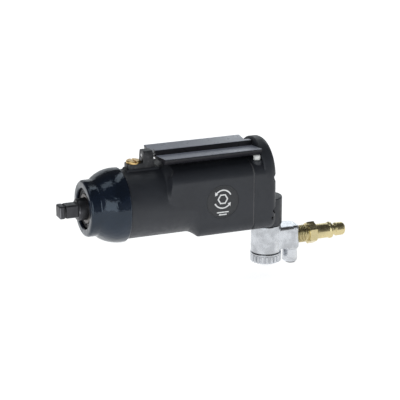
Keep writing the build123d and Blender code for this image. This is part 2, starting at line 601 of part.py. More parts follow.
with BuildPart() as roll_pin:
    tube_y(-HOUSING_R + 0.6, STUD_R + 1.4, ROLL_PIN_R, (ROLL_PIN_X, ROLL_PIN_Z))
    tube_y(-HOUSING_R, STUD_R + 2, ROLL_PIN_R * 0.5, (ROLL_PIN_X, ROLL_PIN_Z), mode=Mode.SUBTRACT)
export(roll_pin.part, "roll_pin")

with BuildPart() as cover_screws:
    for place in screw_places:
        tube_x(screw_tip_x, SCREW_SEAT_X, SCREW_R, centre=place)
        tube_x(SCREW_SEAT_X, SCREW_SEAT_X + SCREW_HEAD, SCREW_HEAD_R, centre=place)
        with BuildSketch(Plane.YZ.offset(SCREW_SEAT_X + SCREW_HEAD)):
            with Locations(place):
                RegularPolygon(1.5, 6)
        extrude(amount=-1.8, mode=Mode.SUBTRACT)
export(cover_screws.part, "cover_screws")

# ---------------------------------------------------------------- lever bracket and paddle
with BuildPart() as lever_bracket:
    with BuildSketch(Plane.XZ) as bracket_side:
        with BuildLine():
            Polyline(
                (BRACKET_FRONT_X, PAD_TOP), (BRACKET_REAR_X, PAD_TOP),
                (BRACKET_REAR_X - 1.5, BRACKET_TOP),
                (UPRIGHT_FRONT_X + 0.6, BRACKET_TOP), (UPRIGHT_FRONT_X, FOOT_TOP),
                (BRACKET_FRONT_X, FOOT_TOP), close=True,
            )
        make_face()
    extrude(amount=BRACKET_HALF_WIDTH, both=True)
    fillet(lever_bracket.edges().filter_by(Axis.Z).sort_by(Axis.X)[:2], 2.0)
    fillet(lever_bracket.edges().filter_by(Axis.X).group_by(Axis.Z)[-1], 1.5)
    tube_z(PAD_TOP - 1, FOOT_TOP + 1, BRACKET_SCREW_R + 0.2, centre=(BRACKET_SCREW_X, 0),
        mode=Mode.SUBTRACT)
    tube_z(PAD_TOP - 1, PAD_TOP + 2.6, DOWEL_R + FIT, centre=(DOWEL_PIN_X, 0), mode=Mode.SUBTRACT)
    tube_x(UPRIGHT_FRONT_X - 1, BRACKET_REAR_X + 1, ROD_R + 0.03, centre=(0, ROD_Z), mode=Mode.SUBTRACT)
export(lever_bracket.part, "lever_bracket")

with BuildPart() as bracket_screw:
    tube_z(bracket_hole_z + 0.1, FOOT_TOP, BRACKET_SCREW_R, centre=(BRACKET_SCREW_X, 0))
    tube_z(FOOT_TOP, FOOT_TOP + BRACKET_HEAD, BRACKET_HEAD_R, centre=(BRACKET_SCREW_X, 0))
    chamfer(bracket_screw.faces().sort_by(Axis.Z)[-1].edges(), 0.5)
    with BuildSketch(Plane.XY.offset(FOOT_TOP + BRACKET_HEAD)):
        with Locations((BRACKET_SCREW_X, 0)):
            Rectangle(1.2, 3 * BRACKET_HEAD_R)
    extrude(amount=-1.0, mode=Mode.SUBTRACT)
export(bracket_screw.part, "bracket_screw")

with BuildPart() as bracket_dowel:
    tube_z(bracket_hole_z + 0.1, PAD_TOP + 2.5, DOWEL_R, centre=(DOWEL_PIN_X, 0))
export(bracket_dowel.part, "bracket_dowel")

with BuildPart() as paddle_rod:
    tube_x(UPRIGHT_FRONT_X + 0.3, COVER_REAR_X - 3.2, ROD_R, centre=(0, ROD_Z))
    chamfer(paddle_rod.faces().sort_by(Axis.X)[0].edges(), 0.3)
export(paddle_rod.part, "paddle_rod")

RIDGE_TOP = ROD_Z + 2.9
VALLEY_TOP = ROD_Z - 0.9
HUB_UNDERSIDE = ROD_Z - 3.0
with BuildPart() as throttle_paddle:
    with BuildSketch(Plane.YZ.offset(PADDLE_FRONT_X)) as paddle_section:
        with BuildLine():
            Polyline(
                (0, RIDGE_TOP), (2.3, RIDGE_TOP - 0.1), (3.5, VALLEY_TOP + 0.7), (8.0, VALLEY_TOP),
                (PADDLE_HALF_WIDTH - 7.6, VALLEY_TOP + 0.1), (PADDLE_HALF_WIDTH - 0.7, RIDGE_TOP - 0.8),
                (PADDLE_HALF_WIDTH, RIDGE_TOP - 1.4), (PADDLE_HALF_WIDTH - 2.5, WING_UNDERSIDE + 0.1),
                (PADDLE_HALF_WIDTH - 6.5, WING_UNDERSIDE),
                (PADDLE_HALF_WIDTH - 9.0, WING_UNDERSIDE + 0.7),
                (3.6, WING_UNDERSIDE + 0.7), (2.6, HUB_UNDERSIDE), (0, HUB_UNDERSIDE), close=True,
            )
        make_face()
        mirror(about=Plane.YZ)
    extrude(amount=PADDLE_REAR_X - PADDLE_FRONT_X)
    tube_x(PADDLE_FRONT_X - 1, PADDLE_REAR_X + 1, ROD_R + FIT, centre=(0, ROD_Z), mode=Mode.SUBTRACT)
export(throttle_paddle.part, "throttle_paddle")

# ---------------------------------------------------------------- throttle valves
PLUNGER_HEAD_BOTTOM = 19.6
PLUNGER_PIN_R = 1.1
PLUNGER_PIN_BOTTOM = 12.3
SEAT_BOTTOM = 8.2
SEAT_THICKNESS = 1.4
SEAT_BORE_R = 1.5
VALVE_BALL_R = 2.4
ball_z = SEAT_BOTTOM - 0.05 - math.sqrt(VALVE_BALL_R**2 - SEAT_BORE_R**2)

with BuildPart() as valve_seats:
    for side in (-1, 1):
        place = (PLUNGER_X, side * PLUNGER_Y)
        tube_z(SEAT_BOTTOM, SEAT_BOTTOM + SEAT_THICKNESS, PLUNGER_R + PLUNGER_GAP - 0.03, SEAT_BORE_R,
            centre=place)
export(valve_seats.part, "valve_seats")

with BuildPart() as valve_balls:
    with Locations((PLUNGER_X, -PLUNGER_Y, ball_z), (PLUNGER_X, PLUNGER_Y, ball_z)):
        Sphere(VALVE_BALL_R)
export(valve_balls.part, "valve_balls")

for side, name in ((-1, "left"), (1, "right")):
    place = (PLUNGER_X, side * PLUNGER_Y)
    with BuildPart() as plunger:
        tube_z(PLUNGER_HEAD_BOTTOM, PLUNGER_TOP, PLUNGER_R, centre=place)
        fillet(plunger.faces().sort_by(Axis.Z)[-1].edges(), 1.3)
        tube_z(PLUNGER_PIN_BOTTOM, PLUNGER_HEAD_BOTTOM, PLUNGER_PIN_R, centre=place)
    export(plunger.part, f"plunger_{name}")
    spring_low = SEAT_BOTTOM + SEAT_THICKNESS + 0.05
    export(coil(spring_low, PLUNGER_HEAD_BOTTOM - 0.05, 1.95, 0.3, 6, place), f"plunger_spring_{name}")

with BuildPart() as ball_springs:
    for side in (-1, 1):
        place = (PLUNGER_X, side * PLUNGER_Y)
        add(coil(VALVE_BORE_BOTTOM + 0.05, ball_z - VALVE_BALL_R + 0.2, 1.6, 0.25, 3, place))
export(ball_springs.part, "ball_springs")

# ---------------------------------------------------------------- swivel inlet
STUD_RING_R = 0.9
STUD_RING_ZS = (STUD_TOP - 8.6, STUD_TOP - 12.2)
inlet = (INLET_X, 0)
with BuildPart() as swivel_stud:
    tube_z(BOSS_BOTTOM - LOOSE, STUD_TOP, STUD_R, centre=inlet)
    tube_z(STUD_LOW, BOSS_BOTTOM - LOOSE, STUD_THREAD_R, centre=inlet)
    groove_half = ROLL_PIN_R + LOOSE
    tube_z(ROLL_PIN_Z - groove_half, ROLL_PIN_Z + groove_half, STUD_R + 1, STUD_GROOVE_R, centre=inlet,
        mode=Mode.SUBTRACT)
    for z in STUD_RING_ZS:
        tube_z(z - 1.1, z + 1.1, STUD_R + 1, STUD_R - 2 * STUD_RING_R, centre=inlet, mode=Mode.SUBTRACT)
    tube_z(STUD_LOW - 1, STUD_TOP + 1, STUD_BORE_R, centre=inlet, mode=Mode.SUBTRACT)
export(swivel_stud.part, "swivel_stud")

with BuildPart() as stud_orings:
    for z in STUD_RING_ZS:
        with Locations((INLET_X, 0, z)):
            Torus(STUD_R - STUD_RING_R, STUD_RING_R - 0.05)
export(stud_orings.part, "stud_orings")

barrel_top = BOSS_BOTTOM - LOOSE
DETENT_R = 1.1
detent = (INLET_X, -(BARREL_R - 2.0))
with BuildPart() as swivel_elbow:
    tube_z(BARREL_BOTTOM, barrel_top, BARREL_R, centre=inlet)
    with BuildSketch(Plane.XZ) as arm_side:
        with BuildLine():
            Polyline(
                (INLET_X, BARREL_BOTTOM), (INLET_X, ARM_TOP), (ARM_REAR_X, ARM_TOP),
                (ARM_REAR_X, BARREL_BOTTOM), close=True
            )
        make_face()
        fillet(arm_side.vertices().sort_by_distance((ARM_REAR_X, ARM_TOP))[0], 4.0)
    extrude(amount=ARM_HALF_WIDTH, both=True)
    fillet(swivel_elbow.edges().filter_by(Axis.Z).sort_by(Axis.X)[-2:], 3.0)
    tube_z(COLUMN_BOTTOM, NIPPLE_Z, COLUMN_R, centre=(COLUMN_X, 0))
    fillet(swivel_elbow.faces().sort_by(Axis.Z)[0].edges(), 1.0)
    tube_z(BARREL_BOTTOM - 1, STUD_LOW - 0.1, SPOOL_R + FIT, centre=inlet, mode=Mode.SUBTRACT)
    tube_z(STUD_LOW - 0.2, barrel_top + 1, STUD_THREAD_R + FIT, centre=inlet, mode=Mode.SUBTRACT)
    tube_x(INLET_X, ARM_REAR_X, 4.0, centre=(0, NIPPLE_Z), mode=Mode.SUBTRACT)
    tube_x(THREAD_START_X - 0.5, ARM_REAR_X + 1, THREAD_R + FIT, centre=(0, NIPPLE_Z), mode=Mode.SUBTRACT)
    tube_z(COLUMN_BOTTOM - 1, NIPPLE_Z, PLUG_R + FIT, centre=(COLUMN_X, 0), mode=Mode.SUBTRACT)
    tube_z(BARREL_BOTTOM - 1, BARREL_BOTTOM + 5, DETENT_R + FIT, centre=detent, mode=Mode.SUBTRACT)
export(swivel_elbow.part, "swivel_elbow")

with BuildPart() as detent_ball:
    with Locations((detent[0], detent[1], BARREL_BOTTOM + DETENT_R - 0.1)):
        Sphere(DETENT_R)
export(detent_ball.part, "detent_ball")
export(coil(BARREL_BOTTOM + 2 * DETENT_R - 0.05, BARREL_BOTTOM + 4.95, 0.75, 0.2, 3, detent),
    "detent_spring")

with BuildPart() as elbow_plug:
    tube_z(COLUMN_BOTTOM - 1.3, COLUMN_BOTTOM + 8, PLUG_R, centre=(COLUMN_X, 0))
    fillet(elbow_plug.faces().sort_by(Axis.Z)[0].edges(), 0.5)
    with BuildSketch(Plane.XY.offset(COLUMN_BOTTOM - 1.3)):
        with Locations((COLUMN_X, 0)):
            RegularPolygon(2.0, 6)
    extrude(amount=3.0, mode=Mode.SUBTRACT)
export(elbow_plug.part, "elbow_plug")

knob_top = BARREL_BOTTOM - LOOSE
knob_bottom = knob_top - KNOB_LENGTH
flute_r = math.pi * KNOB_R / KNOB_FLUTES * 0.55
with BuildPart() as regulator_knob:
    tube_z(knob_bottom, knob_top, KNOB_R, SPOOL_R + FIT - 1.0, centre=inlet)
    chamfer(regulator_knob.faces().sort_by(Axis.Z)[0].edges().sort_by(SortBy.LENGTH)[-1], 0.8)
    with BuildSketch(Plane.XY.offset(knob_bottom - 1)):
        with Locations(inlet):
            with PolarLocations(KNOB_R + flute_r * 0.45, KNOB_FLUTES):
                Circle(flute_r)
    extrude(amount=KNOB_LENGTH - 0.2, mode=Mode.SUBTRACT)
export(regulator_knob.part, "regulator_knob")

SPOOL_TOP = NIPPLE_Z + 1.5
SPOOL_RING_Z = BARREL_BOTTOM + 2.6
with BuildPart() as regulator_spool:
    tube_z(knob_top, SPOOL_TOP, SPOOL_R, centre=inlet)
    tube_z(knob_bottom + 0.6, knob_top, SPOOL_R - 1.0, centre=inlet)
    tube_z(NIPPLE_Z - 4.2, SPOOL_TOP + 1, SPOOL_R - 2.0, centre=inlet, mode=Mode.SUBTRACT)
    tube_x(INLET_X - SPOOL_R - 1, INLET_X + SPOOL_R + 1, 2.6, centre=(0, NIPPLE_Z - 1.5),
        mode=Mode.SUBTRACT)
    tube_z(SPOOL_RING_Z - 0.8, SPOOL_RING_Z + 0.8, SPOOL_R + 1, SPOOL_R - 1.2, centre=inlet,
        mode=Mode.SUBTRACT)
    tube_z(knob_bottom, knob_bottom + 5, 1.3, centre=inlet, mode=Mode.SUBTRACT)
export(regulator_spool.part, "regulator_spool")

with BuildPart() as spool_oring:
    with Locations((INLET_X, 0, SPOOL_RING_Z)):
        Torus(SPOOL_R - 0.6, 0.57)
export(spool_oring.part, "spool_oring")

with BuildPart() as knob_screw:
    tube_z(knob_bottom - 0.6, knob_bottom + 0.6, SPOOL_R - 1.3, centre=inlet)
    tube_z(knob_bottom + 0.6, knob_bottom + 4.8, 1.25, centre=inlet)
    with BuildSketch(Plane.XY.offset(knob_bottom - 0.6)):
        with Locations(inlet):
            Rectangle(8.0, 1.2)
    extrude(amount=0.7, mode=Mode.SUBTRACT)
export(knob_screw.part, "knob_screw")

# ---------------------------------------------------------------- quick connect nipple
nipple_axis = Axis((0, 0, NIPPLE_Z), (1, 0, 0))
with BuildPart() as air_nipple:
    with BuildSketch(Plane.XZ.offset(0)) as nipple_section:
        with BuildLine():
            Polyline(
                (THREAD_START_X, NIPPLE_Z + NIPPLE_BORE_R), (THREAD_START_X, NIPPLE_Z + THREAD_R),
                (HEX_X, NIPPLE_Z + THREAD_R), (HEX_X, NIPPLE_Z + SHANK_R), (COLLAR_X, NIPPLE_Z + SHANK_R),
                (COLLAR_X + 0.8, NIPPLE_Z + COLLAR_R), (NECK_X - 0.8, NIPPLE_Z + COLLAR_R),
                (NECK_X, NIPPLE_Z + NECK_R),
                (TIP_X - 1.0, NIPPLE_Z + NECK_R), (TIP_X, NIPPLE_Z + TIP_R),
                (NIPPLE_END_X - 1.2, NIPPLE_Z + TIP_R),
                (NIPPLE_END_X, NIPPLE_Z + TIP_R - 0.9), (NIPPLE_END_X, NIPPLE_Z + NIPPLE_BORE_R),
                close=True,
            )
        make_face()
    revolve(axis=nipple_axis)
    with BuildSketch(Plane.YZ.offset(HEX_X)):
        with Locations((0, NIPPLE_Z)):
            RegularPolygon(HEX_FLATS / 2, 6, major_radius=False, rotation=30)
            Circle(SHANK_R - 1, mode=Mode.SUBTRACT)
    extrude(amount=HEX_LENGTH)
    tube_x(THREAD_START_X - 1, THREAD_START_X + 6.2, NIPPLE_BORE_R + 1.6, centre=(0, NIPPLE_Z),
        mode=Mode.SUBTRACT)
export(air_nipple.part, "air_nipple")

with BuildPart() as inlet_strainer:
    tube_x(THREAD_START_X + 0.2, THREAD_START_X + 6.0, NIPPLE_BORE_R + 1.5, NIPPLE_BORE_R + 1.0,
        centre=(0, NIPPLE_Z))
    tube_x(THREAD_START_X + 0.2, THREAD_START_X + 0.8, NIPPLE_BORE_R + 1.5, centre=(0, NIPPLE_Z))
export(inlet_strainer.part, "inlet_strainer")

print(len(os.listdir("parts")), "parts written")
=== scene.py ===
"""Looks of a butterfly air impact wrench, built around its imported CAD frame.

The visible castings, boot, paddle, elbow, knob and nipple are shaped here. The pieces inside keep their
CAD shape and get a finish of their own. Lengths in the classes are in millimetres, and Blender's own are in
metres.
"""
import json
import logging
import math
from dataclasses import dataclass, field
from enum import Enum
from typing import Callable, Sequence

import bmesh
import bpy
import numpy as np
from bpy.types import Material, Mesh, Node, NodeSocket, NodeTree, Object
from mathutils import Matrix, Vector

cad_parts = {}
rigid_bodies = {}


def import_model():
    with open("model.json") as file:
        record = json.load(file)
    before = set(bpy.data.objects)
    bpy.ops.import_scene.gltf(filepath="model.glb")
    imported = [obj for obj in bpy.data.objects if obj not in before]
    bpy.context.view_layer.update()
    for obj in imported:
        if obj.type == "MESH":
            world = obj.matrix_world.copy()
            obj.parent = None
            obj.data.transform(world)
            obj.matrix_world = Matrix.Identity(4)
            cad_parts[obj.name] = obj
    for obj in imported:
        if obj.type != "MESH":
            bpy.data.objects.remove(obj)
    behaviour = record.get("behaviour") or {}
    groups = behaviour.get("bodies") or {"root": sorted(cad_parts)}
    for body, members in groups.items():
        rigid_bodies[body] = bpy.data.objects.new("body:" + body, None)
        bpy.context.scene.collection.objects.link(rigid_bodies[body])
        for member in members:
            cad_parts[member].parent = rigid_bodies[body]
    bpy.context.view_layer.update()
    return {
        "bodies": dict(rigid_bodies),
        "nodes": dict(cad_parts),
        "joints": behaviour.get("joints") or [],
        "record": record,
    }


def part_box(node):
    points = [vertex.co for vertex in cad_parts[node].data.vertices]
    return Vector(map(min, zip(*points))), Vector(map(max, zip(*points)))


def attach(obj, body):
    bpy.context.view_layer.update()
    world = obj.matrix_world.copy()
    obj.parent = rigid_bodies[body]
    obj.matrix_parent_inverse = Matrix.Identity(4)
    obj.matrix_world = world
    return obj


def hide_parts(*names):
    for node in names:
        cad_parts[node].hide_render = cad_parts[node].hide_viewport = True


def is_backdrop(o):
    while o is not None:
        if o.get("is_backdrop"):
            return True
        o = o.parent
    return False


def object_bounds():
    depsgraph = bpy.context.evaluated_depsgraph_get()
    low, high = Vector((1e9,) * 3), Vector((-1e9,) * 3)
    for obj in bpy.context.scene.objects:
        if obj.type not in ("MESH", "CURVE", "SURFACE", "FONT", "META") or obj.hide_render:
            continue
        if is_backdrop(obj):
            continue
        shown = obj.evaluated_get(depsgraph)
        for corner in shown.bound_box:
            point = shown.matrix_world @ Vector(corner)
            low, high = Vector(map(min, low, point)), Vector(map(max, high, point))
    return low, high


LOG = logging.getLogger("impact_wrench")
MM = 0.001
NEAR_AXIS = 1e-6
WELD = 1e-5

Pair = tuple[float, float]
Triple = tuple[float, float, float]
SocketKinds = dict[str, tuple[str, object]]
Distance = Callable[[np.ndarray, np.ndarray], np.ndarray]


class Way(Enum):
    """Axis that a turned or repeated piece goes round."""

    X = (1.0, 0.0, 0.0)
    Y = (0.0, 1.0, 0.0)
    Z = (0.0, 0.0, 1.0)


class Body(Enum):
    """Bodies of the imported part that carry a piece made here."""

    HOUSING = "housing"
    ANVIL = "anvil"
    PADDLE = "paddle"
    ELBOW = "elbow"
    KNOB = "knob"
    PLUNGER_LEFT = "plunger_left"
    PLUNGER_RIGHT = "plunger_right"


# ---------------------------------------------------------------- shader node groups
class NodeSheet:
    """Short calls for adding and linking nodes in one node tree."""

    def __init__(self, tree: NodeTree) -> None:
        """Starts a sheet on an empty node tree.

        Args:
            tree: the node tree to write in.
        """
        self.tree = tree

    def add(self, kind: str, inputs: dict | None = None, **settings: object) -> Node:
        """Adds a node.

        Args:
            kind: the node's type name.
            inputs: socket name or index to a value, or to an output socket that is linked in.
            settings: attributes set on the node.

        Returns:
            The new node.
        """
        node = self.tree.nodes.new(kind)
        for name, value in settings.items():
            setattr(node, name, value)
        for name, value in (inputs or {}).items():
            socket = node.inputs[name]
            if isinstance(value, NodeSocket):
                self.tree.links.new(value, socket)
            else:
                socket.default_value = value
        return node

    def maths(self, operation: str, first: object, second: object = 0.0, clamp: bool = False) -> NodeSocket:
        """Adds a Math node.

        Args:
            operation: the sum to work out.
            first: a value or a socket.
            second: a value or a socket.
            clamp: whether the result is held from 0 to 1.

        Returns:
            The result's socket.
        """
        node = self.add("ShaderNodeMath", {0: first, 1: second}, operation=operation, use_clamp=clamp)
        return node.outputs[0]

    def remap(
        self, value: object, low: object, high: object, to_low: float = 0.0, to_high: float = 1.0
    ) -> NodeSocket:
        """Moves a value smoothly from one range to another.

        Args:
            value: a value or a socket.
            low: what becomes to_low.
            high: what becomes to_high.
            to_low: the new range's start.
            to_high: the new range's end.

        Returns:
            The result's socket.
        """
        ranges = {"Value": value, "From Min": low, "From Max": high, "To Min": to_low, "To Max": to_high}
        return self.add("ShaderNodeMapRange", ranges, interpolation_type="SMOOTHSTEP").outputs["Result"]

    def noise(self, vector: object, scale: object, detail: float = 2.0, roughness: float = 0.5) -> NodeSocket:
        """Adds a noise texture.

        Args:
            vector: where it is read.
            scale: how fine it is.
            detail: octaves laid over each other.
            roughness: share of the finer octaves.

        Returns:
            The noise's socket, from about 0 to 1.
        """
        inputs = {"Vector": vector, "Scale": scale, "Detail": detail, "Roughness": roughness}
        return self.add("ShaderNodeTexNoise", inputs).outputs["Fac"]

    def mix(self, share: object, first: object, second: object) -> NodeSocket:
        """Returns the mix of two colours."""
        node = self.add("ShaderNodeMix", {0: share}, data_type="RGBA")
        for socket, value in ((node.inputs[6], first), (node.inputs[7], second)):
            if isinstance(value, NodeSocket):
                self.tree.links.new(value, socket)
            else:
                socket.default_value = value
        return node.outputs[2]


def new_group(name: str, inputs: SocketKinds, outputs: dict[str, str]) -> tuple[NodeSheet, Node, Node]:
    """Starts a shader node group.

    Args:
        name: the group's name.
        inputs: socket name to its kind and default value.
        outputs: socket name to its kind.

    Returns:
        The sheet to write in, the group's input node and its output node.
    """
    tree = bpy.data.node_groups.new(name, "ShaderNodeTree")
    for label, (kind, default) in inputs.items():
        socket = tree.interface.new_socket(label, in_out="INPUT", socket_type=kind)
        if default is not None:
            socket.default_value = default
    for label, kind in outputs.items():
        tree.interface.new_socket(label, in_out="OUTPUT", socket_type=kind)
    sheet = NodeSheet(tree)
    return sheet, sheet.add("NodeGroupInput"), sheet.add("NodeGroupOutput")


def build_grain_group() -> NodeTree:
    """Group that gives a fine surface grain, a broad blotch and a middle mottling, each from 0 to 1."""
    sheet, given, result = new_group(
        "surface_grain",
        {
            "Vector": ("NodeSocketVector", None),
            "Grain Scale": ("NodeSocketFloat", 900.0),
            "Blotch Scale": ("NodeSocketFloat", 40.0),
        },
        {"Grain": "NodeSocketFloat", "Blotch": "NodeSocketFloat", "Mottle": "NodeSocketFloat"},
    )
    place, blotch = given.outputs["Vector"], given.outputs["Blotch Scale"]
    fine = sheet.noise(place, given.outputs["Grain Scale"], 4.0, 0.6)
    broad = sheet.noise(place, blotch, 3.0)
    middle = sheet.noise(place, sheet.maths("MULTIPLY", blotch, 6.0), 5.0, 0.65)
    links = sheet.tree.links
    links.new(fine, result.inputs["Grain"])
    links.new(sheet.remap(broad, 0.35, 0.65), result.inputs["Blotch"])
    links.new(sheet.remap(middle, 0.3, 0.7), result.inputs["Mottle"])
    return sheet.tree


def build_scratch_group() -> NodeTree:
    """Group that gives thin, sparse scratches in two directions as a mask."""
    sheet, given, result = new_group(
        "hairline_scratches",
        {
            "Vector": ("NodeSocketVector", None),
            "Density": ("NodeSocketFloat", 60.0),
            "Amount": ("NodeSocketFloat", 0.5),
        },
        {"Mask": "NodeSocketFloat"},
    )
    layers = []
    for turn, stretch in ((0.5, 14.0), (-0.9, 9.0)):
        turned = {"Rotation": (turn, turn * 0.7, turn * 1.9), "Scale": (1.0, stretch, stretch)}
        placed = sheet.add("ShaderNodeMapping", {"Vector": given.outputs["Vector"], **turned}).outputs[0]
        noise = sheet.noise(placed, given.outputs["Density"], 2.0, 0.4)
        ridge = sheet.maths("ABSOLUTE", sheet.maths("SUBTRACT", noise, 0.5))
        line = sheet.remap(ridge, 0.0, 0.006, 1.0, 0.0)
        patch = sheet.remap(sheet.noise(placed, 22.0), 0.56, 0.68)
        layers.append(sheet.maths("MULTIPLY", line, patch))
    both = sheet.maths("MAXIMUM", layers[0], layers[1])
    mask = sheet.maths("MULTIPLY", both, given.outputs["Amount"], clamp=True)
    sheet.tree.links.new(mask, result.inputs["Mask"])
    return sheet.tree


def build_edge_group() -> NodeTree:
    """Group that gives a broken mask along convex edges, from the mesh's own pointiness."""
    sheet, given, result = new_group(
        "edge_wear",
        {
            "Vector": ("NodeSocketVector", None),
            "Start": ("NodeSocketFloat", 0.52),
            "Full": ("NodeSocketFloat", 0.6),
            "Breakup": ("NodeSocketFloat", 0.6),
        },
        {"Mask": "NodeSocketFloat"},
    )
    shape = sheet.add("ShaderNodeNewGeometry")
    noise = sheet.noise(given.outputs["Vector"], 420.0, 5.0, 0.7)
    strength = sheet.maths("MULTIPLY", given.outputs["Breakup"], 0.16)
    shift = sheet.maths("MULTIPLY", sheet.maths("SUBTRACT", noise, 0.5), strength)
    value = sheet.maths("ADD", shape.outputs["Pointiness"], shift)
    mask = sheet.remap(value, given.outputs["Start"], given.outputs["Full"])
    sheet.tree.links.new(mask, result.inputs["Mask"])
    return sheet.tree


@dataclass
class EffectShelf:
    """The shared effect groups, built once."""

    grain: NodeTree = field(default_factory=build_grain_group)
    scratch: NodeTree = field(default_factory=build_scratch_group)
    edge: NodeTree = field(default_factory=build_edge_group)


# ---------------------------------------------------------------- finishes
def rgba(colour: Sequence[float]) -> tuple[float, float, float, float]:
    """Returns a colour with full alpha."""
    return (colour[0], colour[1], colour[2], 1.0)


class Pattern(Enum):
    """Machining or moulding marks that a finish can carry."""

    NONE = "none"
    TURNED_X = "turned about X"
    BRUSHED = "brushed along X"
    CAST = "cast skin"


@dataclass(frozen=True)
class Finish:
    """One surface finish: base colour, gloss, grain, marks, scratches, edge wear and a lighter colour painted
    on upward faces as a highlight.
    """

    name: str
    colour: Triple
    roughness: float = 0.45
    metallic: float = 0.0
    coat: float = 0.0
    coat_roughness: float = 0.1
    specular: float = 0.5
    specular_tint: Triple = (1.0, 1.0, 1.0)
    variation: float = 0.12
    roughness_spread: float = 0.12
    grain_scale: float = 900.0
    blotch_scale: float = 40.0
    bump: float = 0.15
    bump_depth: float = 0.00004
    pattern: Pattern = Pattern.NONE
    pattern_scale: float = 1800.0
    scratches: float = 0.0
    wear: float = 0.0
    wear_colour: Triple = (0.6, 0.6, 0.6)
    wear_metallic: float = 1.0
    glow: float = 0.0
    # painted highlight: a lighter colour laid on faces that point up, standing in for the overhead light's
    # reflection
    painted_top_sheen: float = 0.0
    painted_sheen_colour: Triple = (0.1, 0.1, 0.1)

    def marks(self, sheet: NodeSheet, vector: NodeSocket) -> NodeSocket | None:
        """Adds the finish's machining or casting marks.

        Args:
            sheet: the material's sheet.
            vector: where the marks are read.

        Returns:
            The marks' height, or None where the finish has none.
        """
        if self.pattern in (Pattern.TURNED_X, Pattern.BRUSHED):
            stretch = {
                Pattern.TURNED_X: (1.0, 0.03, 0.03),
                Pattern.BRUSHED: (0.03, 1.0, 1.0),
            }[self.pattern]
            placed = sheet.add("ShaderNodeMapping", {"Vector": vector, "Scale": stretch})
            return sheet.noise(placed.outputs[0], self.pattern_scale)
        if self.pattern is Pattern.CAST:
            cell_inputs = {"Vector": vector, "Scale": self.pattern_scale}
            return sheet.add("ShaderNodeTexVoronoi", cell_inputs, feature="SMOOTH_F1").outputs["Distance"]
        return None

    def build(self, shelf: EffectShelf) -> Material:
        """Makes the material.

        Args:
            shelf: the shared effect groups.

        Returns:
            A procedural material on Object coordinates.
        """
        material = bpy.data.materials.new(self.name)
        material.use_nodes = True
        material.node_tree.nodes.clear()
        sheet = NodeSheet(material.node_tree)
        place = sheet.add("ShaderNodeTexCoord").outputs["Object"]
        grain = sheet.add("ShaderNodeGroup", node_tree=shelf.grain)
        sheet.tree.links.new(place, grain.inputs["Vector"])
        grain.inputs["Grain Scale"].default_value = self.grain_scale
        grain.inputs["Blotch Scale"].default_value = self.blotch_scale
        dark = tuple(c * (1 - self.variation) for c in self.colour)
        light = tuple(min(1.0, c * (1 + self.variation)) for c in self.colour)
        colour = sheet.mix(grain.outputs["Blotch"], rgba(dark), rgba(light))
        low = max(0.02, self.roughness - self.roughness_spread / 2)
        high = min(1.0, self.roughness + self.roughness_spread / 2)
        rough = sheet.remap(grain.outputs["Mottle"], 0.0, 1.0, low, high)
        metal: object = self.metallic
        if self.scratches > 0:
            scratch = sheet.add("ShaderNodeGroup", node_tree=shelf.scratch)
            sheet.tree.links.new(place, scratch.inputs["Vector"])
            scratch.inputs["Amount"].default_value = self.scratches
            pale = tuple(min(1.0, c * 1.5 + 0.03) for c in self.colour)
            colour = sheet.mix(scratch.outputs["Mask"], colour, rgba(pale))
            dulling = sheet.maths("MULTIPLY", scratch.outputs["Mask"], 0.15)
            rough = sheet.maths("ADD", rough, dulling, clamp=True)
        if self.wear > 0:
            edge = sheet.add("ShaderNodeGroup", node_tree=shelf.edge)
            sheet.tree.links.new(place, edge.inputs["Vector"])
            mask = sheet.maths("MULTIPLY", edge.outputs["Mask"], self.wear, clamp=True)
            colour = sheet.mix(mask, colour, rgba(self.wear_colour))
            if self.metallic != self.wear_metallic:
                metal = sheet.remap(mask, 0.0, 1.0, self.metallic, self.wear_metallic)
        # Painted highlight: faces that point up get a lighter colour, as if they caught the light from above.
        if self.painted_top_sheen > 0:
            normal = sheet.add("ShaderNodeTexCoord").outputs["Normal"]
            facing = sheet.add("ShaderNodeSeparateXYZ", {0: normal}).outputs["Z"]
            painted_top_light = sheet.maths("MULTIPLY", sheet.remap(facing, 0.7, 0.97), self.painted_top_sheen)
            colour = sheet.mix(painted_top_light, colour, rgba(self.painted_sheen_colour))
        height = grain.outputs["Grain"]
        marks = self.marks(sheet, place)
        if marks is not None:
            height = sheet.maths("ADD", sheet.maths("MULTIPLY", height, 0.4), marks)
        relief = {"Strength": self.bump, "Distance": self.bump_depth, "Height": height}
        bump = sheet.add("ShaderNodeBump", relief)
        shader = sheet.add(
            "ShaderNodeBsdfPrincipled",
            {
                "Base Color": colour,
                "Roughness": rough,
                "Metallic": metal,
                "Normal": bump.outputs["Normal"],
                "Coat Weight": self.coat,
                "Coat Roughness": self.coat_roughness,
                "Specular IOR Level": self.specular,
                "Specular Tint": rgba(self.specular_tint),
                "Emission Color": rgba((1.0, 1.0, 1.0)),
                "Emission Strength": self.glow,
            },
        )
        out = sheet.add("ShaderNodeOutputMaterial")
        sheet.tree.links.new(shader.outputs["BSDF"], out.inputs["Surface"])
        return material


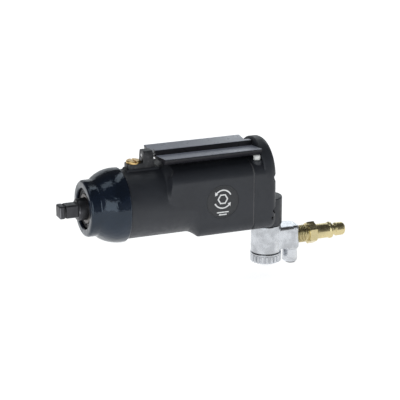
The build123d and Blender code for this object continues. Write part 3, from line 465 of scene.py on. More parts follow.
CHARCOAL = (0.024, 0.0265, 0.033)
STEEL = (0.46, 0.46, 0.47)
FINISHES = {
    "painted_housing": Finish(
        "charcoal_paint", CHARCOAL, roughness=0.46, specular=0.45, variation=0.06, bump=0.22,
        bump_depth=0.00004, grain_scale=2600.0, pattern=Pattern.CAST, pattern_scale=1500.0, wear=0.12,
        wear_colour=(0.09, 0.09, 0.095), wear_metallic=0.0,
    ),
    "boot_rubber": Finish(
        "glossy_boot", (0.006, 0.010, 0.020), roughness=0.13, coat=0.15, coat_roughness=0.05, specular=0.5,
        specular_tint=(0.72, 0.86, 1.0), variation=0.25, roughness_spread=0.08, bump=0.7, bump_depth=0.0014,
        grain_scale=62.0, blotch_scale=55.0,
    ),
    # The lever's upward faces get a painted highlight, a light blue-grey that stands in for the top light's
    # reflection.
    "paddle_alloy": Finish(
        "satin_black_lever", (0.012, 0.012, 0.016), roughness=0.3, specular=0.3, painted_top_sheen=1.0,
        painted_sheen_colour=(0.34, 0.355, 0.42), variation=0.08, roughness_spread=0.06, bump=0.05,
        bump_depth=0.00002, grain_scale=1500.0,
    ),
    "hardened_steel": Finish("ground_steel", STEEL, 0.3, 1.0, pattern=Pattern.TURNED_X, bump=0.3),
    "drive_steel": Finish(
        "phosphated_drive", (0.05, 0.05, 0.055), 0.34, 0.8, scratches=0.6, wear=0.5,
        wear_colour=(0.34, 0.34, 0.36), bump=0.2, variation=0.3,
    ),
    "spring_steel": Finish("drawn_spring_wire", (0.5, 0.5, 0.5), 0.25, 1.0),
    "bearing_steel": Finish("polished_bearing_steel", (0.72, 0.72, 0.73), 0.12, 1.0, bump=0.05),
    "cast_aluminium": Finish(
        "satin_cast_aluminium", (0.54, 0.555, 0.58), 0.24, 1.0, variation=0.16, roughness_spread=0.14,
        pattern=Pattern.CAST, pattern_scale=900.0, bump=0.14, bump_depth=0.00005, scratches=0.25,
        blotch_scale=120.0,
    ),
    "dark_steel": Finish(
        "black_oxide_steel", (0.045, 0.046, 0.05), 0.4, 0.6, scratches=0.4, wear=0.5,
        wear_colour=(0.3, 0.3, 0.31),
    ),
    "yellow_zinc": Finish("yellow_zinc", (0.72, 0.5, 0.22), 0.26, 1.0, variation=0.15, scratches=0.3),
    "nipple_brass": Finish(
        "turned_brass", (0.6, 0.515, 0.29), 0.26, 1.0, variation=0.1, pattern=Pattern.TURNED_X, bump=0.3,
        scratches=0.3,
    ),
    # The bushing sits deep in the nose, so its bronze colour is darkened to near black: painted shade of the
    # recess.
    "bronze": Finish("bronze_with_painted_recess_shade", (0.11, 0.1, 0.095), 0.34, 1.0, grain_scale=2500.0, bump=0.4),
    "seal_rubber": Finish("seal_rubber", (0.015, 0.015, 0.015), 0.6),
    "plunger_nylon": Finish("white_nylon", (0.86, 0.86, 0.84), 0.4, specular=0.4, variation=0.03),
    "gasket_fibre": Finish("gasket_fibre", (0.11, 0.11, 0.115), 0.5, grain_scale=1800.0, bump=0.4),
    "vane_composite": Finish(
        "vane_laminate", (0.2, 0.12, 0.05), 0.5, pattern=Pattern.BRUSHED, pattern_scale=900.0,
    ),
    "badge_plate": Finish(
        "badge_plate", (0.024, 0.0255, 0.029), roughness=0.4, variation=0.05, bump=0.2, bump_depth=0.00003,
        grain_scale=2600.0,
    ),
}
# Black steel for the friction ring. On the hammer case, which shows only inside the nose, the same black
# stands in for the recess's shade as painted shade.
BLACK_STEEL_AND_RECESS_SHADE = Finish(
    "black_steel_and_painted_recess_shade", (0.035, 0.035, 0.038), 0.3, 0.7, scratches=0.3, wear=0.3,
    wear_colour=(0.2, 0.2, 0.21),
)
WHITE_INK = Finish("white_pad_print", (0.8, 0.8, 0.8), roughness=0.45, variation=0.03, bump=0.05)
FLOOR = Finish(
    "pale_floor", (0.9, 0.9, 0.9), roughness=0.7, variation=0.005, bump=0.0, specular=0.1, glow=0.8,
)


class FinishShop:
    """Builds each finish when it is first asked for, by the record's slot name."""

    def __init__(self) -> None:
        """Starts with no materials and one set of effect groups."""
        self.shelf = EffectShelf()
        self.made: dict[str, Material] = {}

    def slot(self, slot: str) -> Material:
        """Returns the material of a record slot."""
        return self.of(FINISHES[slot])

    def of(self, finish: Finish) -> Material:
        """Returns the material of a finish."""
        if finish.name not in self.made:
            self.made[finish.name] = finish.build(self.shelf)
        return self.made[finish.name]


# ---------------------------------------------------------------- mesh tools
def make_object(name: str, mesh: Mesh, material: Material, sharp_deg: float = 35.0) -> Object:
    """Puts a mesh in the scene as an object at the origin with one material and sharp edges marked.

    Args:
        name: the object's name.
        mesh: its mesh, already in place.
        material: its only material.
        sharp_deg: edges that turn by more than this stay crisp.

    Returns:
        The object.
    """
    mesh.materials.clear()
    mesh.materials.append(material)
    mesh.polygons.foreach_set("material_index", [0] * len(mesh.polygons))
    mesh.shade_smooth()
    mesh.set_sharp_from_angle(angle=math.radians(sharp_deg))
    obj = bpy.data.objects.new(name, mesh)
    bpy.context.scene.collection.objects.link(obj)
    return obj


def grid_mesh(name: str, points: np.ndarray, wrap_rows: bool = False, caps: bool = False) -> Mesh:
    """Makes a mesh from a grid of points whose columns close into loops.

    Args:
        name: the mesh's name.
        points: array of rows by columns by 3, in metres.
        wrap_rows: joins the last row to the first, for a ring section.
        caps: closes the first and last rows with a face each.

    Returns:
        The mesh, with its normals outward.
    """
    rows, cols = points.shape[:2]
    faces = []
    for i in range(rows if wrap_rows else rows - 1):
        nxt = (i + 1) % rows
        for j in range(cols):
            k = (j + 1) % cols
            faces.append((i * cols + j, i * cols + k, nxt * cols + k, nxt * cols + j))
    if caps:
        faces.append(tuple(range(cols)))
        faces.append(tuple(range((rows - 1) * cols, rows * cols)))
    mesh = bpy.data.meshes.new(name)
    mesh.from_pydata(points.reshape(-1, 3).tolist(), [], faces)
    return tidy_mesh(mesh)


def tidy_mesh(mesh: Mesh, distance: float = 1e-6) -> Mesh:
    """Merges doubles and turns the normals outward.

    Args:
        mesh: the mesh, changed in place.
        distance: points closer than this, in metres, become one.

    Returns:
        The same mesh.
    """
    bm = bmesh.new()
    bm.from_mesh(mesh)
    bmesh.ops.remove_doubles(bm, verts=bm.verts, dist=distance)
    bmesh.ops.dissolve_degenerate(bm, dist=1e-7, edges=bm.edges)
    bmesh.ops.recalc_face_normals(bm, faces=bm.faces)
    bm.to_mesh(mesh)
    bm.free()
    mesh.update()
    return mesh


def lathe(name: str, outline: Sequence[Pair], way: Way, centre: Triple, steps: int = 128) -> Mesh:
    """Turns a closed outline of (along, radius) points, in millimetres, about an axis through a centre.

    Args:
        name: the mesh's name.
        outline: the closed section, each point once.
        way: the axis's direction.
        centre: a point on the axis, in millimetres; along is counted from the row's origin.
        steps: divisions round the axis.

    Returns:
        The mesh.
    """
    turn = full_turn(steps)
    along = np.array([p[0] for p in outline])[:, None] + 0 * turn
    radius = np.array([p[1] for p in outline])[:, None]
    first, second = radius * np.cos(turn), radius * np.sin(turn)
    if way is Way.X:
        points = np.stack([along, centre[1] + first, centre[2] + second], axis=-1)
    elif way is Way.Z:
        points = np.stack([centre[0] + first, centre[1] + second, along], axis=-1)
    else:
        points = np.stack([centre[0] + first, along, centre[2] + second], axis=-1)
    return grid_mesh(name, points * MM, wrap_rows=True)


def rounded(outline: Sequence[Triple], steps: int = 6) -> list[Pair]:
    """Rounds a polygon's corners.

    Args:
        outline: (a, b, corner radius) points of a closed polygon.
        steps: points along each rounded corner.

    Returns:
        (a, b) points.
    """
    out: list[Pair] = []
    count = len(outline)
    for i, (a, b, radius) in enumerate(outline):
        here = np.array((a, b))
        if radius <= 0:
            out.append((a, b))
            continue
        before = np.array(outline[i - 1][:2]) - here
        after = np.array(outline[(i + 1) % count][:2]) - here
        u, v = before / np.linalg.norm(before), after / np.linalg.norm(after)
        angle = math.acos(float(np.clip(u @ v, -1, 1)))
        if angle > math.radians(179):
            out.append((a, b))
            continue
        room = 0.49 * min(np.linalg.norm(before), np.linalg.norm(after))
        reach = min(radius / math.tan(angle / 2), room)
        real = reach * math.tan(angle / 2)
        middle = here + (u + v) / np.linalg.norm(u + v) * real / math.sin(angle / 2)
        start, end = here + u * reach - middle, here + v * reach - middle
        sweep = math.acos(float(np.clip(start @ end / real**2, -1, 1)))
        for k in range(steps + 1):
            t = k / steps
            p = (math.sin((1 - t) * sweep) * start + math.sin(t * sweep) * end) / math.sin(sweep)
            out.append(tuple(middle + p))
    return out


def turned(edge: Sequence[Triple], steps: int = 6) -> list[Pair]:
    """Rounds the outline of a solid turned piece, closing it along its axis.

    Args:
        edge: (along, radius, corner radius) points from one end to the other.
        steps: points along each rounded corner.

    Returns:
        (along, radius) points.
    """
    return rounded([(edge[0][0], NEAR_AXIS, 0), *edge, (edge[-1][0], NEAR_AXIS, 0)], steps)


@dataclass(frozen=True)
class Prism:
    """A rounded rectangle square to Z, in millimetres, that can be drawn up into a solid."""

    x: float
    y: float
    half_x: float
    half_y: float
    corner: float

    def ring(self, z: float, inset: float) -> list[Triple]:
        """Returns the outline's points at a height, drawn in by an inset."""
        a, b, r = self.half_x - inset, self.half_y - inset, max(self.corner - inset, 0.02)
        flat = rounded([(-a, -b, r), (a, -b, r), (a, b, r), (-a, b, r)], 8)
        return [(self.x + u, self.y + v, z) for u, v in flat]

    def end(self, level: float, rounding: float) -> list[list[Triple]]:
        """Returns the rings of one end, from its face to where its rounding stops.

        Args:
            level: height of the end's face.
            rounding: the rounding's size, negative for an upper end.
        """
        bends = [math.pi / 2 * k / 6 for k in range(6, -1, -1)]
        size = abs(rounding)
        return [self.ring(level + rounding * (1 - math.sin(a)), size * (1 - math.cos(a))) for a in bends]

    def mesh(self, low: float, high: float, top_round: float = 0.0, bottom_round: float = 0.0) -> Mesh:
        """Draws the outline up into a closed solid with its ends rounded over.

        Args:
            low: height of the lower face.
            high: height of the upper face.
            top_round: rounding of the upper edge.
            bottom_round: rounding of the lower edge.

        Returns:
            The mesh.
        """
        lower, upper = self.end(low, bottom_round), self.end(high, -top_round)
        rows = (lower if bottom_round > 0 else lower[:1]) + (upper[::-1] if top_round > 0 else upper[:1])
        return grid_mesh("prism", np.array(rows) * MM, caps=True)


def cad_copy(frame: dict, node: str, name: str) -> Object:
    """Makes a merged working copy of a CAD node's mesh, with flat areas joined into single faces.

    Args:
        node: the CAD node.
        name: the copy's name.

    Returns:
        The copy, linked to the scene.
    """
    source = frame["nodes"][node]
    mesh = source.data.copy()
    mesh.name = name
    bm = bmesh.new()
    bm.from_mesh(mesh)
    bmesh.ops.remove_doubles(bm, verts=bm.verts, dist=2e-6)
    bmesh.ops.dissolve_limit(bm, angle_limit=math.radians(0.5), verts=bm.verts, edges=bm.edges)
    bm.to_mesh(mesh)
    bm.free()
    obj = bpy.data.objects.new(name, mesh)
    bpy.context.scene.collection.objects.link(obj)
    return obj


def apply_modifiers(obj: Object) -> Object:
    """Turns an object's evaluated result into its plain mesh and removes its modifiers."""
    graph = bpy.context.evaluated_depsgraph_get()
    graph.update()
    mesh = bpy.data.meshes.new_from_object(obj.evaluated_get(graph))
    obj.modifiers.clear()
    old = obj.data
    obj.data = mesh
    bpy.data.meshes.remove(old)
    return obj


def bevel_edges(obj: Object, width: float, segments: int = 2, angle_deg: float = 32.0) -> Object:
    """Rounds an object's sharp edges and applies the result.

    Args:
        obj: the object.
        width: the rounding in millimetres.
        segments: steps across it.
        angle_deg: edges that turn by less than this are left.

    Returns:
        The same object.
    """
    mod = obj.modifiers.new("edges", "BEVEL")
    mod.width = width * MM
    mod.segments = segments
    mod.limit_method = "ANGLE"
    mod.angle_limit = math.radians(angle_deg)
    mod.miter_outer = "MITER_ARC"
    mod.harden_normals = False
    return apply_modifiers(obj)


def cut(obj: Object, tool: Mesh, operation: str = "DIFFERENCE") -> None:
    """Works a tool mesh into an object by an exact boolean, and applies it.

    Args:
        obj: the object that is changed.
        tool: the tool's mesh, which is used up.
        operation: DIFFERENCE, UNION or INTERSECT.
    """
    helper = bpy.data.objects.new("tool", tool)
    bpy.context.scene.collection.objects.link(helper)
    mod = obj.modifiers.new("cut", "BOOLEAN")
    mod.object = helper
    mod.operation = operation
    mod.solver = "EXACT"
    apply_modifiers(obj)
    bpy.data.objects.remove(helper)
    bpy.data.meshes.remove(tool)


def rod_mesh(way: Way, start: float, end: float, radius: float, centre: Triple, steps: int = 48) -> Mesh:
    """Returns a plain closed rod for cutting or joining, in millimetres."""
    outline = [(start, NEAR_AXIS), (start, radius), (end, radius), (end, NEAR_AXIS)]
    return tidy_mesh(lathe("rod", outline, way, centre, steps), WELD)


@dataclass
class Span:
    """A CAD node's box in millimetres."""

    low: Vector
    high: Vector

    @classmethod
    def of(cls, node: str) -> "Span":
        """Returns the box of a node at rest."""
        low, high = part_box(node)
        return cls(Vector(low) / MM, Vector(high) / MM)

    @property
    def centre(self) -> Vector:
        """The box's middle."""
        return (self.low + self.high) / 2


def ring_about_x(x: float, turn: np.ndarray, radius: np.ndarray, centre_z: float = 0.0) -> np.ndarray:
    """Lays out one ring of points square to X.

    Args:
        x: where the ring stands.
        turn: angles round X from +Y, in radians.
        radius: distance from the centre at each angle.
        centre_z: height of the ring's centre.

    Returns:
        One point for each angle.
    """
    return np.stack([np.full_like(turn, x), radius * np.cos(turn), centre_z + radius * np.sin(turn)], axis=-1)


def full_turn(steps: int) -> np.ndarray:
    """Returns evenly spaced angles once round, in radians."""
    return np.linspace(0, 2 * math.pi, steps, endpoint=False)


def ease(value: np.ndarray) -> np.ndarray:
    """Returns a smooth step from 0 to 1."""
    t = np.clip(value, 0, 1)
    return t * t * (3 - 2 * t)


# ---------------------------------------------------------------- geometry node trees
class GeometrySheet(NodeSheet):
    """A geometry node tree with named inputs, ending in Realize Instances and Set Material."""

    def __init__(self, name: str, inputs: SocketKinds) -> None:
        """Starts the tree.

        Args:
            name: the tree's name.
            inputs: socket name to its kind and default value.
        """
        tree = bpy.data.node_groups.new(name, "GeometryNodeTree")
        tree.interface.new_socket("Geometry", in_out="INPUT", socket_type="NodeSocketGeometry")
        for label, (kind, default) in inputs.items():
            socket = tree.interface.new_socket(label, in_out="INPUT", socket_type=kind)
            if default is not None:
                socket.default_value = default
        tree.interface.new_socket("Geometry", in_out="OUTPUT", socket_type="NodeSocketGeometry")
        super().__init__(tree)
        self.given = self.add("NodeGroupInput")

    def close(self, geometry: NodeSocket) -> NodeTree:
        """Ends the tree in Realize Instances and Set Material and returns it."""
        real = self.add("GeometryNodeRealizeInstances", {"Geometry": geometry})
        material = self.given.outputs["Material"]
        dressed = self.add("GeometryNodeSetMaterial", {"Geometry": real.outputs[0], "Material": material})
        out = self.add("NodeGroupOutput")
        self.tree.links.new(dressed.outputs[0], out.inputs[0])
        return self.tree


def run_tree(obj: Object, tree: NodeTree, values: dict[str, object]) -> Object:
    """Runs a geometry node tree on an object, sets its inputs by identifier and keeps the plain mesh.

    Args:
        obj: the object whose mesh is the tree's input geometry.
        tree: the tree.
        values: input name to value.

    Returns:
        The object, with the result as its mesh.
    """
    mod = obj.modifiers.new(tree.name, "NODES")
    mod.node_group = tree
    for item in tree.interface.items_tree:
        if item.item_type == "SOCKET" and item.in_out == "INPUT" and item.name in values:
            mod[item.identifier] = values[item.name]
    return apply_modifiers(obj)


def build_ring_tree() -> NodeTree:
    """Tree that repeats its input evenly round an axis through a centre."""
    sheet = GeometrySheet(
        "repeat_round_axis",
        {
            "Count": ("NodeSocketInt", 12),
            "Axis": ("NodeSocketVector", (0, 0, 1)),
            "Centre": ("NodeSocketVector", (0, 0, 0)),
            "Material": ("NodeSocketMaterial", None),
        },
    )
    points = sheet.add("GeometryNodePoints", {"Count": sheet.given.outputs["Count"]})
    index = sheet.add("GeometryNodeInputIndex")
    share = sheet.maths("DIVIDE", index.outputs[0], sheet.given.outputs["Count"])
    angle = sheet.maths("MULTIPLY", share, 2 * math.pi)
    turn = sheet.add("ShaderNodeVectorMath", {0: sheet.given.outputs["Axis"]}, operation="SCALE")
    sheet.tree.links.new(angle, turn.inputs["Scale"])
    instance = sheet.given.outputs["Geometry"]
    copies = {"Points": points.outputs[0], "Instance": instance, "Rotation": turn.outputs[0]}
    spread = sheet.add("GeometryNodeInstanceOnPoints", copies)
    centre = sheet.given.outputs["Centre"]
    placed = sheet.add("GeometryNodeTransform", {"Geometry": spread.outputs[0], "Translation": centre})
    return sheet.close(placed.outputs[0])


def build_corner_tree() -> NodeTree:
    """Tree that puts its input at the four corners of a rectangle square to X."""
    sheet = GeometrySheet(
        "repeat_at_corners",
        {
            "Width": ("NodeSocketFloat", 0.04),
            "Height": ("NodeSocketFloat", 0.02),
            "Centre": ("NodeSocketVector", (0, 0, 0)),
            "Material": ("NodeSocketMaterial", None),
        },
    )
    given = sheet.given.outputs
    corners = {"Size X": given["Height"], "Size Y": given["Width"], "Vertices X": 2, "Vertices Y": 2}
    grid = sheet.add("GeometryNodeMeshGrid", corners).outputs["Mesh"]
    upright = {"Geometry": grid, "Rotation": (0.0, math.pi / 2, 0.0), "Translation": given["Centre"]}
    stood = sheet.add("GeometryNodeTransform", upright).outputs[0]
    spread = sheet.add("GeometryNodeInstanceOnPoints", {"Points": stood, "Instance": given["Geometry"]})
    return sheet.close(spread.outputs[0])


def build_thread_tree() -> NodeTree:
    """Tree that sweeps its input, a flat thread profile, along a helix about X."""
    sheet = GeometrySheet(
        "screw_thread",
        {
            "Turns": ("NodeSocketFloat", 5.0),
            "Pitch": ("NodeSocketFloat", 0.0013),
            "Radius": ("NodeSocketFloat", 0.006),
            "Depth": ("NodeSocketFloat", 0.0008),
            "Start": ("NodeSocketVector", (0, 0, 0)),
            "Material": ("NodeSocketMaterial", None),
        },
    )
    given = sheet.given.outputs
    spiral = {
        "Resolution": 64,
        "Rotations": given["Turns"],
        "Start Radius": given["Radius"],
        "End Radius": given["Radius"],
        "Height": sheet.maths("MULTIPLY", given["Turns"], given["Pitch"]),
    }
    helix = sheet.add("GeometryNodeCurveSpiral", spiral).outputs[0]
    level = sheet.add("GeometryNodeSetCurveNormal", {"Curve": helix}, mode="Z_UP").outputs[0]
    circle = {"Resolution": 4, "Radius": given["Depth"]}
    profile = sheet.add("GeometryNodeCurvePrimitiveCircle", circle, mode="RADIUS").outputs[0]
    sweep = {"Curve": level, "Profile Curve": profile, "Fill Caps": True}
    swept = sheet.add("GeometryNodeCurveToMesh", sweep).outputs[0]
    along_x = {"Geometry": swept, "Rotation": (0.0, math.pi / 2, 0.0), "Translation": given["Start"]}
    return sheet.close(sheet.add("GeometryNodeTransform", along_x).outputs[0])


@dataclass
class Workshop:
    """What every sub-assembly needs: the frame, the finishes and the shared trees."""

    frame: dict
    shop: FinishShop = field(default_factory=FinishShop)
    ring_tree: NodeTree = field(default_factory=build_ring_tree)
    corner_tree: NodeTree = field(default_factory=build_corner_tree)
    thread_tree: NodeTree = field(default_factory=build_thread_tree)

    def place(self, obj: Object, body: Body, slot: str, *nodes: str) -> Object:
        """Sets a finished piece on its body, and hides the CAD nodes that it stands for.

        Args:
            obj: the piece.
            body: the body that it rides on.
            slot: the record's material slot; not used.
            nodes: the CAD nodes that it replaces.

        Returns:
            The same piece.
        """
        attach(obj, body.value)
        if nodes:
            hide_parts(*nodes)
        LOG.info("piece %s on %s: %d faces", obj.name, body.value, len(obj.data.polygons))
        return obj

    def piece(
        self, name: str, mesh: Mesh, body: Body, slot: str, *nodes: str, sharp_deg: float = 35.0
    ) -> Object:
        """Makes a mesh into a piece with its slot's finish, and places it.

        Args:
            name: the piece's name.
            mesh: its mesh, already in place.
            body: the body that it rides on.
            slot: the record's material slot.
            nodes: the CAD nodes that it replaces.
            sharp_deg: edges that turn by more than this stay crisp.

        Returns:
            The piece.
        """
        return self.place(make_object(name, mesh, self.shop.slot(slot), sharp_deg), body, slot, *nodes)

    def settle(
        self, blank: Object, name: str, body: Body, slot: str, *nodes: str, sharp_deg: float = 35.0
    ) -> Object:
        """Cleans a worked blank and makes it into a piece, with the arguments of piece().

        Args:
            blank: the object that was worked on, which is used up.
            name: the piece's name.
            body: the body that it rides on.
            slot: the record's material slot.
            nodes: the CAD nodes that it replaces.
            sharp_deg: edges that turn by more than this stay crisp.

        Returns:
            The piece.
        """
        mesh = tidy_mesh(blank.data.copy())
        bpy.data.objects.remove(blank)
        return self.piece(name, mesh, body, slot, *nodes, sharp_deg=sharp_deg)

    def refine(
        self, node: str, body: Body, slot: str, width: float, segments: int = 2, finish: Finish | None = None
    ) -> Object:
        """Replaces a CAD node by a copy with its edges rounded.

        Args:
            node: the CAD node.
            body: the body that it rides on.
            slot: the record's material slot.
            width: the rounding in millimetres.
            segments: steps across the rounding.
            finish: a finish other than the slot's own.

        Returns:
            The new piece.
        """
        obj = cad_copy(self.frame, node, f"{node}_shown")
        bevel_edges(obj, width, segments)
        mesh = tidy_mesh(obj.data)
        bpy.data.objects.remove(obj)
        material = self.shop.of(finish) if finish else self.shop.slot(slot)
        return self.place(make_object(f"{node}_shown", mesh, material), body, slot, node)


# ---------------------------------------------------------------- castings
@dataclass
class Section:
    """Cross-section of the housing's block or of the cover's tower, as a signed distance in millimetres."""

    half_width: float
    bottom: float
    top: float
    bottom_round: float = 7.5
    top_round: float = 8.0
    crown_radius: float = 60.0

    def distance(self, y: np.ndarray, z: np.ndarray) -> np.ndarray:
        """Signed distance to a box with a crowned top and rounded corners, negative inside."""
        flat_z = z + y**2 / (2 * self.crown_radius) * ease(z / self.top)
        middle = (self.top + self.bottom) / 2
        half = (self.top - self.bottom) / 2
        radius = np.where(flat_z > middle, self.top_round, self.bottom_round)
        qy = np.abs(y) - self.half_width + radius
        qz = np.abs(flat_z - middle) - half + radius
        return np.minimum(np.maximum(qy, qz), 0) + np.hypot(np.maximum(qy, 0), np.maximum(qz, 0)) - radius


@dataclass
class Tower(Section):
    """The cover's arch: flat sides with a half-round top."""

    def distance(self, y: np.ndarray, z: np.ndarray) -> np.ndarray:
        """Signed distance to the arch, negative inside."""
        centre = self.top - self.half_width
        low = super().distance(y, np.minimum(z, centre - 1e-3))
        arch = np.hypot(y, z - centre) - self.half_width
        return np.where(z > centre, arch, np.maximum(low, np.abs(y) - self.half_width))


def polar_radius(distance: Distance, turn: np.ndarray, inset: float, centre_z: float = 0.0) -> np.ndarray:
    """Finds, for each direction round X, the radius at which a section's distance is minus the inset.

    Args:
        distance: signed distance of (y, z) arrays.
        turn: angles round X from +Y, in radians.
        inset: how far inside the outline, in millimetres.
        centre_z: height that the directions start from.

    Returns:
        The radii.
    """
    nearest, farthest, halvings = 1.0, 70.0, 34
    low, high = np.full_like(turn, nearest), np.full_like(turn, farthest)
    for _ in range(halvings):
        middle = (low + high) / 2
        outside = distance(middle * np.cos(turn), centre_z + middle * np.sin(turn)) > -inset
        high, low = np.where(outside, middle, high), np.where(outside, low, middle)
    return (low + high) / 2


@dataclass
class MotorHousing:
    """The barrel that grows into a squared-off block, with a pad for the lever bracket."""

    work: Workshop
    bore: float = 21.0
    edge: float = 0.5
    step_top_x: float = 74.3
    step_low_x: float = 94.0
    pad_width: float = 9.8
    pad_front: float = 50.5
    pad_height: float = 1.0
    divisions: int = 360
    slot_x: float = 108.0
    slot_pitch: float = 6.0
    slot_length: float = 18.0
    slot_width: float = 2.2

    def stations(self, front: float, rear: float) -> np.ndarray:
        """Returns the X stations, closer together at the ends and where the block begins."""
        marks = [front, front + 0.15, front + 0.5, self.pad_front - 1, self.pad_front + 1]
        marks += [self.step_top_x - 3, self.step_top_x + 7, self.step_low_x - 3, self.step_low_x + 7]
        marks += [rear - 0.5, rear - 0.15, rear]
        steps = [2, 2, 3, 6, 14, 34, 14, 34, 30, 3, 2]
        parts = [np.linspace(a, b, n, endpoint=False) for a, b, n in zip(marks[:-1], marks[1:], steps)]
        return np.concatenate(parts + [np.array([rear])])

    def skin(self, front: float, rear: float, radius: float, block: Section) -> np.ndarray:
        """Returns the outer skin's points, in millimetres.

        Args:
            front: X of the front face.
            rear: X of the seam.
            radius: the barrel's radius.
            block: the rear block's section.

        Returns:
            Rings of points from front to rear.
        """
        turn = full_turn(self.divisions)
        square = polar_radius(block.distance, turn, 0.0)
        y, z = square * np.cos(turn), square * np.sin(turn)
        start = self.step_top_x + (self.step_low_x - self.step_top_x) * ease((6.0 - z) / 13.0)
        start += 1.6 * ease((z - 8.0) / 16.0)
        band = np.where(z > 0, 2.4 + 3.2 * ease((z - 22.5) / 4.0), 5.6)
        rows = []
        for x in self.stations(front, rear):
            share = np.clip((x - start) / band, 0, 1)
            share = np.where(z > 0, share**1.5, (1 - np.cos(np.pi * share)) / 2)
            r = radius + (square - radius) * share
            across = ease((self.pad_width / 2 + 0.4 - np.abs(r * np.cos(turn))) / 0.8)
            pad = ease((x - self.pad_front) / 0.8) * across
            pad = np.where(np.sin(turn) > 0, pad, 0) * ease((self.step_top_x + 2 - x) / 1.5)
            flat_top = (radius + self.pad_height) / np.maximum(np.sin(turn), 0.5)
            r = np.maximum(r, r + (flat_top - r) * pad)
            lip = self.edge - min(self.edge, min(x - front, rear - x) + 1e-9)
            r = r - (self.edge - math.sqrt(max(self.edge**2 - lip**2, 0.0))) * 0.8
            rows.append(ring_about_x(x, turn, r))
        return np.array(rows)

    def build(self) -> None:
        """Makes the housing, with its bore open at both ends and its badge recess and three underside slots
        cut.
        """
        span = Span.of("motor_housing")
        badge = Span.of("badge_disc")
        half = span.high.y
        block = Section(half, span.low.z, span.high.z)
        outer = self.skin(span.low.x, span.high.x, half, block)
        turn = full_turn(self.divisions)
        inner = [ring_about_x(x, turn, np.full_like(turn, self.bore)) for x in (span.high.x, span.low.x)]
        points = np.concatenate([outer, np.array(inner)]) * MM
        mesh = grid_mesh("motor_housing_shell", points, wrap_rows=True)
        obj = make_object("motor_housing_shell", mesh, self.work.shop.slot("painted_housing"))
        centre = badge.centre
        radius = (badge.high.x - badge.low.x) / 2 + 0.15
        cut(obj, rod_mesh(Way.Y, span.low.y - 2, badge.high.y, radius, (centre.x, 0, centre.z), 96))
        half_long, half_wide = self.slot_length / 2, self.slot_width / 2
        for step in (-1, 0, 1):
            opening = Prism(self.slot_x, step * self.slot_pitch, half_long, half_wide, half_wide - 0.01)
            cut(obj, opening.mesh(span.low.z - 1, -self.bore + 1.5))
        self.work.settle(
            obj, "motor_housing_shell", Body.HOUSING, "painted_housing", "motor_housing", sharp_deg=30.0
        )


